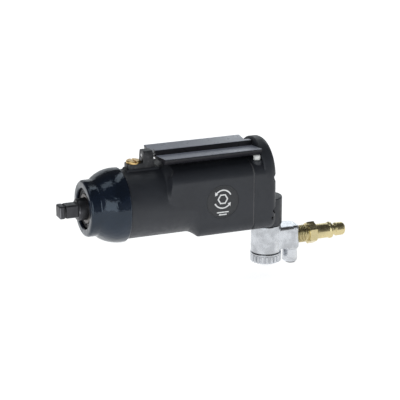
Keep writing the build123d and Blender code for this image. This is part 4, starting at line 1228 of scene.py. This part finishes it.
@dataclass
class RearCover:
    """The end cover: a low shoulder, a round-topped tower and the boss that the inlet hangs from."""

    work: Workshop
    shoulder: float = 8.1
    rear_round: float = 5.0
    front_round: float = 1.3
    divisions: int = 320
    boss_radius: float = 11.8
    boss_top: float = -7.0
    guide_radius: float = 4.3
    middle_z: float = 4.0
    rim: float = 0.5
    pole: float = 0.02
    rear_from_stud: float = 2.3
    pocket_radius: float = 3.0
    pocket_depth: float = 3.4
    play: float = 0.13

    def skin(self, front: float, rear: float, tower_x: float, block: Section, tower: Section) -> np.ndarray:
        """Returns the cover's closed skin from its front face to its rear face, in millimetres.

        Args:
            front: X of the front face.
            rear: X of the rear face.
            tower_x: X of the tower's front face.
            block: section of the shoulder.
            tower: section of the tower.

        Returns:
            Rings of points from front to rear.
        """
        turn = full_turn(self.divisions)
        rows: list[tuple[float, np.ndarray]] = []

        def ring(section: Section, inset: float) -> np.ndarray:
            """Returns a section's radii, drawn in by an inset."""
            return polar_radius(section.distance, turn, inset, self.middle_z)

        low = ring(block, 0.0)
        rows.append((front, low * self.pole))
        rows.append((front, ring(block, self.rim)))
        for k in range(1, 4):
            angle = k / 3 * math.pi / 2
            inset = self.rim * (1 - math.sin(angle))
            rows.append((front + self.rim * (1 - math.cos(angle)), ring(block, inset)))
        for x in np.linspace(front + 1.2, tower_x - 0.05, 8):
            rows.append((x, low))
        for k in range(0, 6):
            angle = k / 5 * math.pi / 2
            arch = ring(tower, self.front_round * (1 - math.sin(angle)))
            rows.append((tower_x + self.front_round * (1 - math.cos(angle)), np.maximum(arch, low)))
        full = np.maximum(ring(tower, 0.0), 0)
        for x in np.linspace(tower_x + self.front_round + 0.5, rear - self.rear_round, 5):
            rows.append((x, full))
        for k in range(1, 13):
            angle = k / 12 * math.pi / 2
            inset = self.rear_round * (1 - math.cos(angle))
            rows.append((rear - self.rear_round * (1 - math.sin(angle)), ring(tower, inset)))
        rows.append((rear, ring(tower, self.rear_round) * self.pole))
        return np.array([ring_about_x(x, turn, r, self.middle_z) for x, r in rows])

    def build(self) -> None:
        """Makes the cover with its boss, plunger bores, screw pockets and pin hole."""
        span = Span.of("rear_cover")
        gasket = Span.of("cover_gasket")
        plunger = Span.of("plunger_left")
        screws = Span.of("cover_screws")
        pin = Span.of("roll_pin")
        stud = Span.of("swivel_stud")
        housing = Span.of("motor_housing")
        front = gasket.high.x
        tower_x = front + self.shoulder
        rear = stud.centre.x - self.rear_from_stud
        half = span.high.y
        bottom = housing.low.z
        block = Section(half, bottom, housing.high.z)
        tower = Tower(half, bottom, span.high.z)
        mesh = grid_mesh("rear_cover_shell", self.skin(front, rear, tower_x, block, tower) * MM, caps=True)
        obj = make_object("rear_cover_shell", mesh, self.work.shop.slot("painted_housing"))
        inlet = (stud.centre.x, 0.0, 0.0)
        boss = turned([(span.low.z, self.boss_radius, 1.0), (self.boss_top, self.boss_radius, 0.8)])
        cut(obj, tidy_mesh(lathe("boss", boss, Way.Z, inlet, 128), WELD), "UNION")
        guide_top = plunger.high.z - 3.6
        guide = turned([(0.0, self.guide_radius, 0), (guide_top, self.guide_radius, 0.8)])
        bore = (plunger.high.x - plunger.low.x) / 2 + 0.15
        for side in (-1, 1):
            place = (plunger.centre.x, side * abs(plunger.centre.y), 0.0)
            cut(obj, tidy_mesh(lathe("guide", guide, Way.Z, place, 48), WELD), "UNION")
            cut(obj, rod_mesh(Way.Z, plunger.high.z - 14, plunger.high.z + 6, bore, place))
        head = self.pocket_radius
        screw_y = screws.high.y - head + self.play
        for side in (-1, 1):
            for z in (screws.low.z + head - self.play, screws.high.z - head + self.play):
                centre = (0, side * screw_y, z)
                cut(obj, rod_mesh(Way.X, screws.high.x - self.pocket_depth, rear + 2, head, centre))
        pin_hole = (pin.high.z - pin.low.z) / 2 + 0.03
        pin_axis = (pin.centre.x, 0, pin.centre.z)
        cut(obj, rod_mesh(Way.Y, span.low.y - 1, span.low.y + 12, pin_hole, pin_axis))
        self.work.settle(
            obj, "rear_cover_shell", Body.HOUSING, "painted_housing", "rear_cover", sharp_deg=30.0
        )


def on_circle(radius: float, degrees: float) -> Pair:
    """Returns the point of a circle at an angle."""
    turn = math.radians(degrees)
    return (radius * math.cos(turn), radius * math.sin(turn))


def ring_piece(inner: float, outer: float, start: float, end: float) -> list[Pair]:
    """Returns the four corners of a ring's piece between two angles in degrees."""
    return [on_circle(inner, start), on_circle(outer, start), on_circle(outer, end), on_circle(inner, end)]


@dataclass
class Badge:
    """The round plate on the side, with a generic nut-and-turn sign."""

    work: Workshop
    groove_outer: float = 0.7
    groove_inner: float = 1.3
    groove_depth: float = 0.12
    sign_depth: float = 0.04
    sign_lift: float = 1.9
    sign_scale: float = 1.27
    nut: Pair = (2.4, 3.3)
    arrow: Pair = (4.9, 5.7)
    arrow_head: Pair = (4.1, 6.5)
    arrow_starts: tuple[int, int] = (25, 205)
    arrow_step: int = 11
    arrow_steps: int = 10
    arrow_tip: int = 20
    bars: tuple[Pair, Pair] = ((-8.1, 3.6), (-9.5, 2.4))
    bar_height: float = 0.7

    def build(self) -> None:
        """Makes the plate with its ring groove, and its printed sign."""
        span = Span.of("badge_disc")
        radius = (span.high.x - span.low.x) / 2
        front, back = span.low.y, span.high.y
        floor = front + self.groove_depth
        outline = turned([
            (front, radius - self.groove_inner, 0.05), (floor, radius - self.groove_inner + 0.15, 0.05),
            (floor, radius - self.groove_outer - 0.15, 0.05), (front, radius - self.groove_outer, 0.05),
            (front, radius, 0.12), (back, radius, 0),
        ], 3)
        place = (span.centre.x, 0.0, span.centre.z)
        mesh = tidy_mesh(lathe("badge", outline, Way.Y, place, 128), WELD)
        self.work.piece("badge_plate", mesh, Body.HOUSING, "badge_plate", "badge_disc", sharp_deg=25.0)
        self.print_sign(span, front)

    def shapes(self) -> list[list[Pair]]:
        """Returns the sign's flat shapes: a nut outline inside two turning arrows, and two bars below."""
        shapes = [ring_piece(*self.nut, 60 * k, 60 * (k + 1)) for k in range(6)]
        for start in self.arrow_starts:
            for k in range(self.arrow_steps):
                turn = start + self.arrow_step * k
                shapes.append(ring_piece(*self.arrow, turn, turn + self.arrow_step))
            end = start + self.arrow_step * self.arrow_steps
            point = on_circle(sum(self.arrow) / 2, end + self.arrow_tip)
            shapes.append([on_circle(self.arrow_head[0], end), on_circle(self.arrow_head[1], end), point])
        for low, half in self.bars:
            high = low + self.bar_height
            shapes.append([(-half, low), (half, low), (half, high), (-half, high)])
        return shapes

    def print_sign(self, span: Span, front: float) -> None:
        """Makes the printed sign.

        Args:
            span: the plate's box.
            front: Y of the plate's face.
        """
        bm = bmesh.new()
        face_y = front - self.sign_depth
        centre_z = span.centre.z + self.sign_lift
        for shape in self.shapes():
            points = [(self.sign_scale * a, self.sign_scale * b) for a, b in shape]
            corners = [Vector((span.centre.x + a, face_y, centre_z + b)) * MM for a, b in points]
            face = bm.faces.new([bm.verts.new(corner) for corner in corners])
            grown = bmesh.ops.extrude_face_region(bm, geom=[face])
            verts = [v for v in grown["geom"] if isinstance(v, bmesh.types.BMVert)]
            bmesh.ops.translate(bm, verts=verts, vec=(0, self.sign_depth * 1.5 * MM, 0))
        bmesh.ops.recalc_face_normals(bm, faces=bm.faces)
        mesh = bpy.data.meshes.new("badge_sign")
        bm.to_mesh(mesh)
        bm.free()
        sign = make_object("badge_sign", mesh, self.work.shop.of(WHITE_INK))
        self.work.place(sign, Body.HOUSING, "plunger_nylon")


# ---------------------------------------------------------------- nose
@dataclass
class NoseBoot:
    """The glossy moulded boot over the hammer case."""

    work: Workshop
    wall: float = 2.2
    hole: float = 14.9
    collar: float = 20.7
    dome: float = 25.9
    crown_from_rear: float = 3.3
    sag: float = 0.2

    def build(self) -> None:
        """Makes the boot as a turned shell whose outside is slightly uneven, as a soft moulding is."""
        span = Span.of("nose_boot")
        front, rear, top = span.low.x, span.high.x, span.high.y
        crown = rear - self.crown_from_rear
        axis_r = top - self.dome
        meet = math.acos((self.collar - axis_r) / self.dome)
        bends = [meet * t for t in np.linspace(1, 0, 16)]
        arc = [(crown - self.dome * math.sin(a), axis_r + self.dome * math.cos(a)) for a in bends]
        outer = [(front, self.hole, 0.9), (front, self.collar, 2.0), (arc[0][0], self.collar, 5.0)]
        outer += [(x, r, 0.0) for x, r in arc[1:]]
        outer += [(rear, top, 1.0), (rear, top - self.wall, 0.3)]
        inner = [(x, r - self.wall, 0.0) for x, r in reversed(arc)]
        inner += [(front + self.wall, self.collar - self.wall, 1.0), (front + self.wall, self.hole, 0.9)]
        outline = rounded(outer + inner, 7)
        mesh = lathe("nose_boot_moulding", outline, Way.X, (0, 0, 0), 192)
        self.uneven(mesh, front, rear)
        self.work.piece("nose_boot_moulding", mesh, Body.HOUSING, "boot_rubber", "nose_boot", sharp_deg=50.0)

    def uneven(self, mesh: Mesh, front: float, rear: float) -> None:
        """Sinks the skin by up to the sag in slow waves, never outward.

        Args:
            mesh: the boot's mesh, changed in place.
            front: X of its front.
            rear: X of its rear.
        """
        count = len(mesh.vertices)
        co = np.empty(count * 3)
        mesh.vertices.foreach_get("co", co)
        co = co.reshape(-1, 3) / MM
        turn = np.arctan2(co[:, 2], co[:, 1])
        along = (co[:, 0] - front) / (rear - front)
        wave = 0.5 + 0.25 * np.sin(3 * turn + 5 * along) + 0.25 * np.sin(7 * turn - 9 * along + 1.3)
        radius = np.hypot(co[:, 1], co[:, 2])
        scale = (radius - self.sag * wave) / radius
        co[:, 1] *= scale
        co[:, 2] *= scale
        mesh.vertices.foreach_set("co", (co * MM).ravel())
        mesh.update()


@dataclass
class Drive:
    """The square anvil with its friction ring and the round shaft behind it."""

    work: Workshop

    def build(self) -> None:
        """Rounds the anvil's edges and those of the rings about it."""
        self.work.refine("anvil", Body.ANVIL, "drive_steel", 0.3, 3)
        self.work.refine("friction_ring", Body.ANVIL, "spring_steel", 0.25, 3, BLACK_STEEL_AND_RECESS_SHADE)
        # The bushing's near-black bronze finish is painted shade of the nose recess.
        self.work.refine("anvil_bushing", Body.HOUSING, "bronze", 0.2)
        self.work.refine("bushing_retaining_ring", Body.HOUSING, "dark_steel", 0.15)
        # The hammer case shows only inside the nose: its black finish is painted shade of that recess.
        self.work.refine("hammer_case", Body.HOUSING, "hardened_steel", 0.25, 2, BLACK_STEEL_AND_RECESS_SHADE)


# ---------------------------------------------------------------- throttle
@dataclass
class Throttle:
    """The rocking paddle, its bracket, rod and plungers."""

    work: Workshop
    ridge_half: float = 2.3
    ridge_foot: float = 3.0
    valley: float = 34.1
    lip_drop: float = 1.9
    underside: float = 31.3
    hub: float = 32.0
    edge: float = 0.3

    def lever(self) -> None:
        """Makes the extruded lever: a ridge over its rod and two wings that rise to their outer edges."""
        span, rod = Span.of("throttle_paddle"), Span.of("paddle_rod")
        top, wing = span.high.z, span.high.y
        lip, web = top - self.lip_drop, self.underside + 0.7
        side = [
            (self.ridge_half, top - 0.1),
            (self.ridge_foot, self.valley),
            (wing - 0.7, lip),
            (wing, lip - 0.5),
            (wing - 2.5, self.underside + 0.1),
            (wing - 6.5, self.underside),
            (wing - 9.0, web),
            (self.ridge_foot + 0.1, web),
            (self.ridge_half + 0.3, self.hub),
        ]
        outline = [(0.0, top)] + side + [(0.0, self.hub)] + [(-y, z) for y, z in reversed(side)]
        rows = [[(x, y, z) for y, z in outline] for x in (span.low.x, span.high.x)]
        mesh = grid_mesh("paddle_blank", np.array(rows) * MM, caps=True)
        obj = make_object("paddle_blank", mesh, self.work.shop.slot("paddle_alloy"))
        hole = (rod.high.z - rod.low.z) / 2 + 0.05
        cut(obj, rod_mesh(Way.X, span.low.x - 1, span.high.x + 1, hole, (0, 0, rod.centre.z)))
        bevel_edges(obj, self.edge, 3, 20.0)
        self.work.settle(
            obj, "throttle_lever", Body.PADDLE, "paddle_alloy", "throttle_paddle", sharp_deg=25.0
        )

    def build(self) -> None:
        """Makes the lever and rounds the edges of the pieces about it."""
        self.lever()
        self.work.refine("lever_bracket", Body.HOUSING, "dark_steel", 0.5, 3)
        self.work.refine("bracket_screw", Body.HOUSING, "yellow_zinc", 0.3, 3)
        self.work.refine("paddle_rod", Body.HOUSING, "hardened_steel", 0.2)
        self.work.refine("plunger_left", Body.PLUNGER_LEFT, "plunger_nylon", 0.2)
        self.work.refine("plunger_right", Body.PLUNGER_RIGHT, "plunger_nylon", 0.2)
        self.work.refine("cover_gasket", Body.HOUSING, "gasket_fibre", 0.1)
        self.work.refine("roll_pin", Body.HOUSING, "dark_steel", 0.15)


@dataclass
class CoverScrews:
    """Four socket screws in the cover's corners."""

    work: Workshop
    head_radius: float = 2.87
    head_length: float = 3.4
    shank_radius: float = 1.75
    socket_radius: float = 1.5
    socket_depth: float = 1.8

    def build(self) -> None:
        """Makes one screw and repeats it at the four corners."""
        span = Span.of("cover_screws")
        seat = span.high.x - self.head_length
        outline = turned([
            (span.low.x, self.shank_radius - 0.4, 0), (span.low.x + 0.6, self.shank_radius, 0),
            (seat, self.shank_radius, 0.1), (seat, self.head_radius, 0.1),
            (span.high.x, self.head_radius, 0.5),
        ], 3)
        mesh = tidy_mesh(lathe("screw", outline, Way.X, (0, 0, 0), 32), WELD)
        obj = make_object("cover_screw_set", mesh, self.work.shop.slot("dark_steel"))
        floor = span.high.x - self.socket_depth
        cut(obj, rod_mesh(Way.X, floor, span.high.x + 1, self.socket_radius, (0, 0, 0), 6))
        width = (span.high.y - self.head_radius) * 2
        height = span.high.z - span.low.z - 2 * self.head_radius
        centre = Vector((0, 0, (span.high.z + span.low.z) / 2)) * MM
        run_tree(obj, self.work.corner_tree, {
            "Width": width * MM, "Height": height * MM, "Centre": centre,
            "Material": self.work.shop.slot("dark_steel"),
        })
        self.work.settle(obj, "cover_screw_set", Body.HOUSING, "dark_steel", "cover_screws")


# ---------------------------------------------------------------- inlet
@dataclass
class SwivelElbow:
    """The cast aluminium elbow: a barrel, a flat-sided column and the web between them, softly blended."""

    work: Workshop
    barrel: float = 11.25
    skin: float = 0.05
    column_front: float = 12.4
    column_rear: float = 25.4
    column_half: float = 8.6
    column_corner: float = 5.5
    foot_reach: float = 6.3
    web_half: float = 8.7
    web_bottom: float = 2.4
    voxel: float = 0.36
    passes: int = 5

    def build(self) -> None:
        """Builds the outside, blends it, and keeps the bores of the CAD shape."""
        span = Span.of("swivel_elbow")
        inlet = Span.of("swivel_stud").centre.x
        barrel_low = Span.of("regulator_knob").high.z + 0.3
        low, high = span.low.z + self.skin, span.high.z - self.skin
        arm_top = high - 2.4
        outline = turned([(barrel_low, self.barrel, 0.5), (high, self.barrel, 0.6)])
        solids = [tidy_mesh(lathe("barrel", outline, Way.Z, (inlet, 0, 0), 96), WELD)]
        middle = inlet + (self.column_front + self.column_rear) / 2
        reach = (self.column_rear - self.column_front) / 2
        arm = Prism(middle, 0.0, reach, self.column_half, self.column_corner)
        solids.append(arm.mesh(barrel_low + 0.2, arm_top, top_round=3.0, bottom_round=2.2))
        foot_front = Span.of("elbow_plug").centre.x - self.foot_reach
        foot_rear = inlet + self.column_rear
        foot_half = (foot_rear - foot_front) / 2
        foot = Prism((foot_front + foot_rear) / 2, 0.0, foot_half, self.foot_reach, self.column_corner)
        solids.append(foot.mesh(low, arm_top - 4.0, bottom_round=1.0))
        web = Prism((inlet + middle) / 2, 0.0, (middle - inlet) / 2 + 1.0, self.web_half, 0.5)
        solids.append(web.mesh(barrel_low + self.web_bottom, arm_top, top_round=2.4))
        obj = self.blend(solids)
        cad = cad_copy(self.work.frame, "swivel_elbow", "elbow_bores")
        cad_shape = cad.data
        bpy.data.objects.remove(cad)
        cut(obj, cad_shape, "INTERSECT")
        self.work.settle(obj, "elbow_casting", Body.ELBOW, "cast_aluminium", "swivel_elbow", sharp_deg=40.0)
        self.work.refine("elbow_plug", Body.ELBOW, "dark_steel", 0.2)
        self.work.refine("swivel_stud", Body.ELBOW, "hardened_steel", 0.15)

    def blend(self, solids: Sequence[Mesh]) -> Object:
        """Joins the solids by a fine voxel skin and softens it.

        Args:
            solids: closed meshes that overlap.

        Returns:
            An object with the joined mesh.
        """
        bm = bmesh.new()
        for solid in solids:
            bm.from_mesh(solid)
            bpy.data.meshes.remove(solid)
        mesh = bpy.data.meshes.new("elbow_blank")
        bm.to_mesh(mesh)
        bm.free()
        obj = bpy.data.objects.new("elbow_blank", mesh)
        bpy.context.scene.collection.objects.link(obj)
        remesh = obj.modifiers.new("skin", "REMESH")
        remesh.mode = "VOXEL"
        remesh.voxel_size = self.voxel * MM
        smooth = obj.modifiers.new("soft", "SMOOTH")
        smooth.factor = 0.5
        smooth.iterations = self.passes
        return apply_modifiers(obj)


@dataclass
class RegulatorKnob:
    """The fluted flow regulator under the elbow."""

    work: Workshop
    ribs: int = 20
    rib_radius: float = 1.25
    core_inset: float = 1.0

    def build(self) -> None:
        """Makes a turned core and stands half-round ribs about it."""
        span = Span.of("regulator_knob")
        centre = span.centre
        radius = (span.high.x - span.low.x) / 2
        core = radius - self.core_inset
        outline = rounded([
            (span.low.z, 6.3, 0.2), (span.low.z, core - 0.4, 0.6), (span.high.z - 1.6, core, 0.3),
            (span.high.z - 1.4, radius - 0.05, 0.3), (span.high.z, radius - 0.05, 0.4),
            (span.high.z, 6.6, 0.2),
        ], 4)
        mesh = lathe("knob_core", outline, Way.Z, (centre.x, 0, 0), 120)
        self.work.piece("knob_core", mesh, Body.KNOB, "cast_aluminium", "regulator_knob", sharp_deg=40.0)
        rib_edge = [(span.low.z + 0.3, self.rib_radius, 0.7), (span.high.z - 1.5, self.rib_radius, 0.2)]
        rib_axis = (radius - self.rib_radius, 0, 0)
        rib = tidy_mesh(lathe("rib", turned(rib_edge, 4), Way.Z, rib_axis, 20), WELD)
        ribs = make_object("knob_ribs", rib, self.work.shop.slot("cast_aluminium"))
        run_tree(ribs, self.work.ring_tree, {
            "Count": self.ribs, "Axis": Way.Z.value, "Centre": Vector((centre.x, 0, 0)) * MM,
            "Material": self.work.shop.slot("cast_aluminium"),
        })
        ribs.data.shade_smooth()
        ribs.data.set_sharp_from_angle(angle=math.radians(40))
        self.work.place(ribs, Body.KNOB, "cast_aluminium")
        self.work.refine("knob_screw", Body.KNOB, "dark_steel", 0.2)


@dataclass
class AirNipple:
    """The brass quick connect nipple with its thread and hexagon."""

    work: Workshop
    thread_r: float = 6.58
    pitch: float = 1.337
    thread_depth: float = 0.75
    hex_flats: float = 15.0
    hex_from_tip: float = 30.7
    hex_length: float = 6.7
    shank: float = 5.7
    collar: float = 6.3
    collar_from_tip: float = 13.4
    neck: float = 4.0
    tip: float = 5.05
    bore: float = 2.6

    def build(self) -> None:
        """Makes the turned body, the chamfered hexagon and the thread."""
        span = Span.of("air_nipple")
        axis = (0.0, 0.0, span.centre.z)
        start, end = span.low.x, span.high.x
        hex_x = end - self.hex_from_tip
        shank_x = hex_x + self.hex_length
        collar_x = end - self.collar_from_tip
        root, under_hex, mouth = self.thread_r - self.thread_depth, self.thread_r - 0.3, self.bore + 1.6
        outline = rounded([
            (start, mouth, 0), (start, root, 0.2), (hex_x - 0.9, root, 0.1), (hex_x - 0.9, under_hex, 0.1),
            (hex_x + 1, under_hex, 0), (shank_x - 1, under_hex, 0), (shank_x + 0.3, self.shank, 0.3),
            (collar_x, self.shank, 0.3), (collar_x + 0.9, self.collar, 0.3),
            (collar_x + 2.4, self.collar, 0.3), (collar_x + 3.3, self.neck, 0.6),
            (end - 8.0, self.neck, 0.6), (end - 7.0, self.tip, 0.3),
            (end - 1.3, self.tip, 0.7), (end, self.tip - 1.0, 0.5), (end, self.bore, 0.3),
            (start + 6, self.bore, 0), (start + 6, mouth, 0),
        ], 5)
        mesh = lathe("nipple_body", outline, Way.X, axis, 96)
        self.work.piece("nipple_body", mesh, Body.ELBOW, "nipple_brass", "air_nipple")
        self.hexagon(hex_x, shank_x, axis)
        self.thread(start, hex_x, axis)

    def hexagon(self, front: float, rear: float, axis: Triple) -> None:
        """Makes the hexagon as a turned blank cut by six flats, so that its corners are chamfered.

        Args:
            front: X where it starts.
            rear: X where it ends.
            axis: a point on the nipple's axis.
        """
        corner = self.hex_flats / 2 / math.cos(math.pi / 6)
        turn = full_turn(144)
        flat = self.hex_flats / 2 / np.cos((turn + math.pi / 6) % (math.pi / 3) - math.pi / 6)
        blank = [(front, 6.0), (front, corner - 1.1), (front + 0.55, corner)]
        blank += [(rear - 0.9, corner), (rear, corner - 1.7), (rear, 5.0)]
        rows = [ring_about_x(x, turn, np.minimum(flat, limit), axis[2]) for x, limit in blank]
        mesh = grid_mesh("nipple_hexagon", np.array(rows) * MM, wrap_rows=True)
        self.work.piece("nipple_hexagon", mesh, Body.ELBOW, "nipple_brass", sharp_deg=20.0)

    def thread(self, start: float, end: float, axis: Triple) -> None:
        """Makes the thread on a helix.

        Args:
            start: X where it starts.
            end: X where the hexagon begins.
            axis: a point on the nipple's axis.
        """
        turns = int((end - start - 2.0) / self.pitch)
        seed = bpy.data.meshes.new("thread_seed")
        seed.from_pydata([(0, 0, 0)], [], [])
        obj = make_object("nipple_thread", seed, self.work.shop.slot("nipple_brass"))
        run_tree(obj, self.work.thread_tree, {
            "Turns": float(turns), "Pitch": self.pitch * MM,
            "Radius": (self.thread_r - self.thread_depth) * MM, "Depth": self.thread_depth * MM,
            "Start": Vector((start + 0.8, 0, axis[2])) * MM,
            "Material": self.work.shop.slot("nipple_brass"),
        })
        tidy_mesh(obj.data)
        self.work.place(obj, Body.ELBOW, "nipple_brass")


# ---------------------------------------------------------------- scene
def dress_cad(work: Workshop) -> None:
    """Gives every CAD node the finish of its record slot."""
    for part in work.frame["record"]["subparts"]:
        node = work.frame["nodes"].get(part["node"])
        if node is None or node.type != "MESH":
            continue
        material = work.shop.slot(part["material_slot"])
        node.data.materials.clear()
        node.data.materials.append(material)


@dataclass(frozen=True)
class Softbox:
    """A soft rectangular light, stated by the brightness of its face."""

    name: str
    place: Triple
    aim: Triple
    width: float
    height: float
    radiance: float
    tint: Triple = (0.9, 0.96, 1.0)

    def build(self) -> None:
        """Adds the light to the scene."""
        data = bpy.data.lights.new(self.name, "AREA")
        data.shape = "RECTANGLE"
        data.size, data.size_y = self.width, self.height
        data.energy = math.pi * self.width * self.height * self.radiance
        data.color = self.tint
        obj = bpy.data.objects.new(self.name, data)
        obj.location = self.place
        obj.rotation_mode = "QUATERNION"
        obj.rotation_quaternion = (Vector(self.aim) - Vector(self.place)).to_track_quat("-Z", "Y")
        bpy.context.scene.collection.objects.link(obj)


@dataclass
class Studio:
    """A pale floor, soft lights and the camera."""

    work: Workshop
    azimuth: float = -22.2
    elevation: float = 17.55
    distance: float = 1.345
    target: Triple = (0.109, 0.0, -0.0042)
    lens: float = 165.5
    floor_size: float = 6.0
    horizon_level: float = 0.26
    overhead_level: float = 0.08
    lights: tuple[Softbox, ...] = (
        Softbox("front_softbox", (-0.75, -1.2, 0.3), (0.09, 0.0, 0.0), 1.15, 1.1, 1.9),
        Softbox("right_softbox", (1.15, -0.75, 0.25), (0.14, 0.0, 0.0), 0.5, 1.0, 1.0),
        Softbox("top_strip", (0.35, 0.35, 1.0), (0.11, 0.0, 0.0), 0.2, 0.9, 1.6),
        Softbox("overhead_left_softbox", (-0.4, 0.05, 1.0), (0.04, 0.0, 0.0), 0.4, 0.6, 1.3),
        Softbox("backdrop_softbox", (0.5, 1.4, 0.5), (0.11, 0.0, 0.0), 2.0, 0.7, 0.6),
        Softbox("rear_softbox", (0.8, 0.8, 0.45), (0.12, 0.0, 0.0), 0.6, 0.6, 1.0),
    )

    def back(self) -> Vector:
        """Returns the direction from the target to the camera."""
        a, e = math.radians(self.azimuth), math.radians(self.elevation)
        return Vector((math.sin(a) * math.cos(e), -math.cos(a) * math.cos(e), math.sin(e)))

    def build(self) -> None:
        """Sets the camera, the floor, the lights and the world."""
        self.camera()
        self.floor()
        for light in self.lights:
            light.build()
        self.world()
        bpy.context.scene.view_settings.view_transform = "Standard"

    def world(self) -> None:
        """Sets a world that is white to the camera, and dim overhead to every other ray."""
        world = bpy.data.worlds.new("studio")
        world.use_nodes = True
        world.node_tree.nodes.clear()
        sheet = NodeSheet(world.node_tree)
        way = sheet.add("ShaderNodeTexCoord").outputs["Generated"]
        parts = sheet.add("ShaderNodeSeparateXYZ", {0: way})
        level = sheet.remap(parts.outputs["Z"], 0.05, 0.6, self.horizon_level, self.overhead_level)
        seen = sheet.add("ShaderNodeLightPath").outputs["Is Camera Ray"]
        strength = sheet.add("ShaderNodeMix", {0: seen, 2: level, 3: 1.0}).outputs[0]
        back = sheet.add("ShaderNodeBackground", {"Color": (1.0, 1.0, 1.0, 1.0), "Strength": strength})
        out = sheet.add("ShaderNodeOutputWorld")
        sheet.tree.links.new(back.outputs[0], out.inputs["Surface"])
        bpy.context.scene.world = world

    def camera(self) -> None:
        """Places the camera."""
        data = bpy.data.cameras.new("camera")
        data.lens = self.lens
        data.sensor_width = 36.0
        data.clip_start, data.clip_end = 0.05, 50.0
        obj = bpy.data.objects.new("camera", data)
        obj.location = Vector(self.target) + self.back() * self.distance
        obj.rotation_mode = "QUATERNION"
        obj.rotation_quaternion = (-self.back()).to_track_quat("-Z", "Y")
        bpy.context.scene.collection.objects.link(obj)
        bpy.context.scene.camera = obj

    def floor(self) -> None:
        """Lays the floor just under the lowest piece."""
        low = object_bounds()[0].z - 0.0005
        half = self.floor_size / 2
        mesh = bpy.data.meshes.new("floor")
        corners = [(-half, -half, low), (half, -half, low), (half, half, low), (-half, half, low)]
        mesh.from_pydata(corners, [], [(0, 1, 2, 3)])
        floor = make_object("floor", mesh, self.work.shop.of(FLOOR))
        floor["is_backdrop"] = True


def main() -> None:
    """Builds the looks around the frame, in order."""
    logging.basicConfig(level=logging.INFO, format="%(name)s: %(message)s")
    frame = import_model()
    work = Workshop(frame)
    dress_cad(work)
    body_makers = (MotorHousing, RearCover, Badge, NoseBoot, Drive, Throttle, CoverScrews)
    inlet_makers = (SwivelElbow, RegulatorKnob, AirNipple)
    for maker in body_makers + inlet_makers:
        maker(work).build()
    Studio(work).build()


if __name__ == "__main__":
    main()
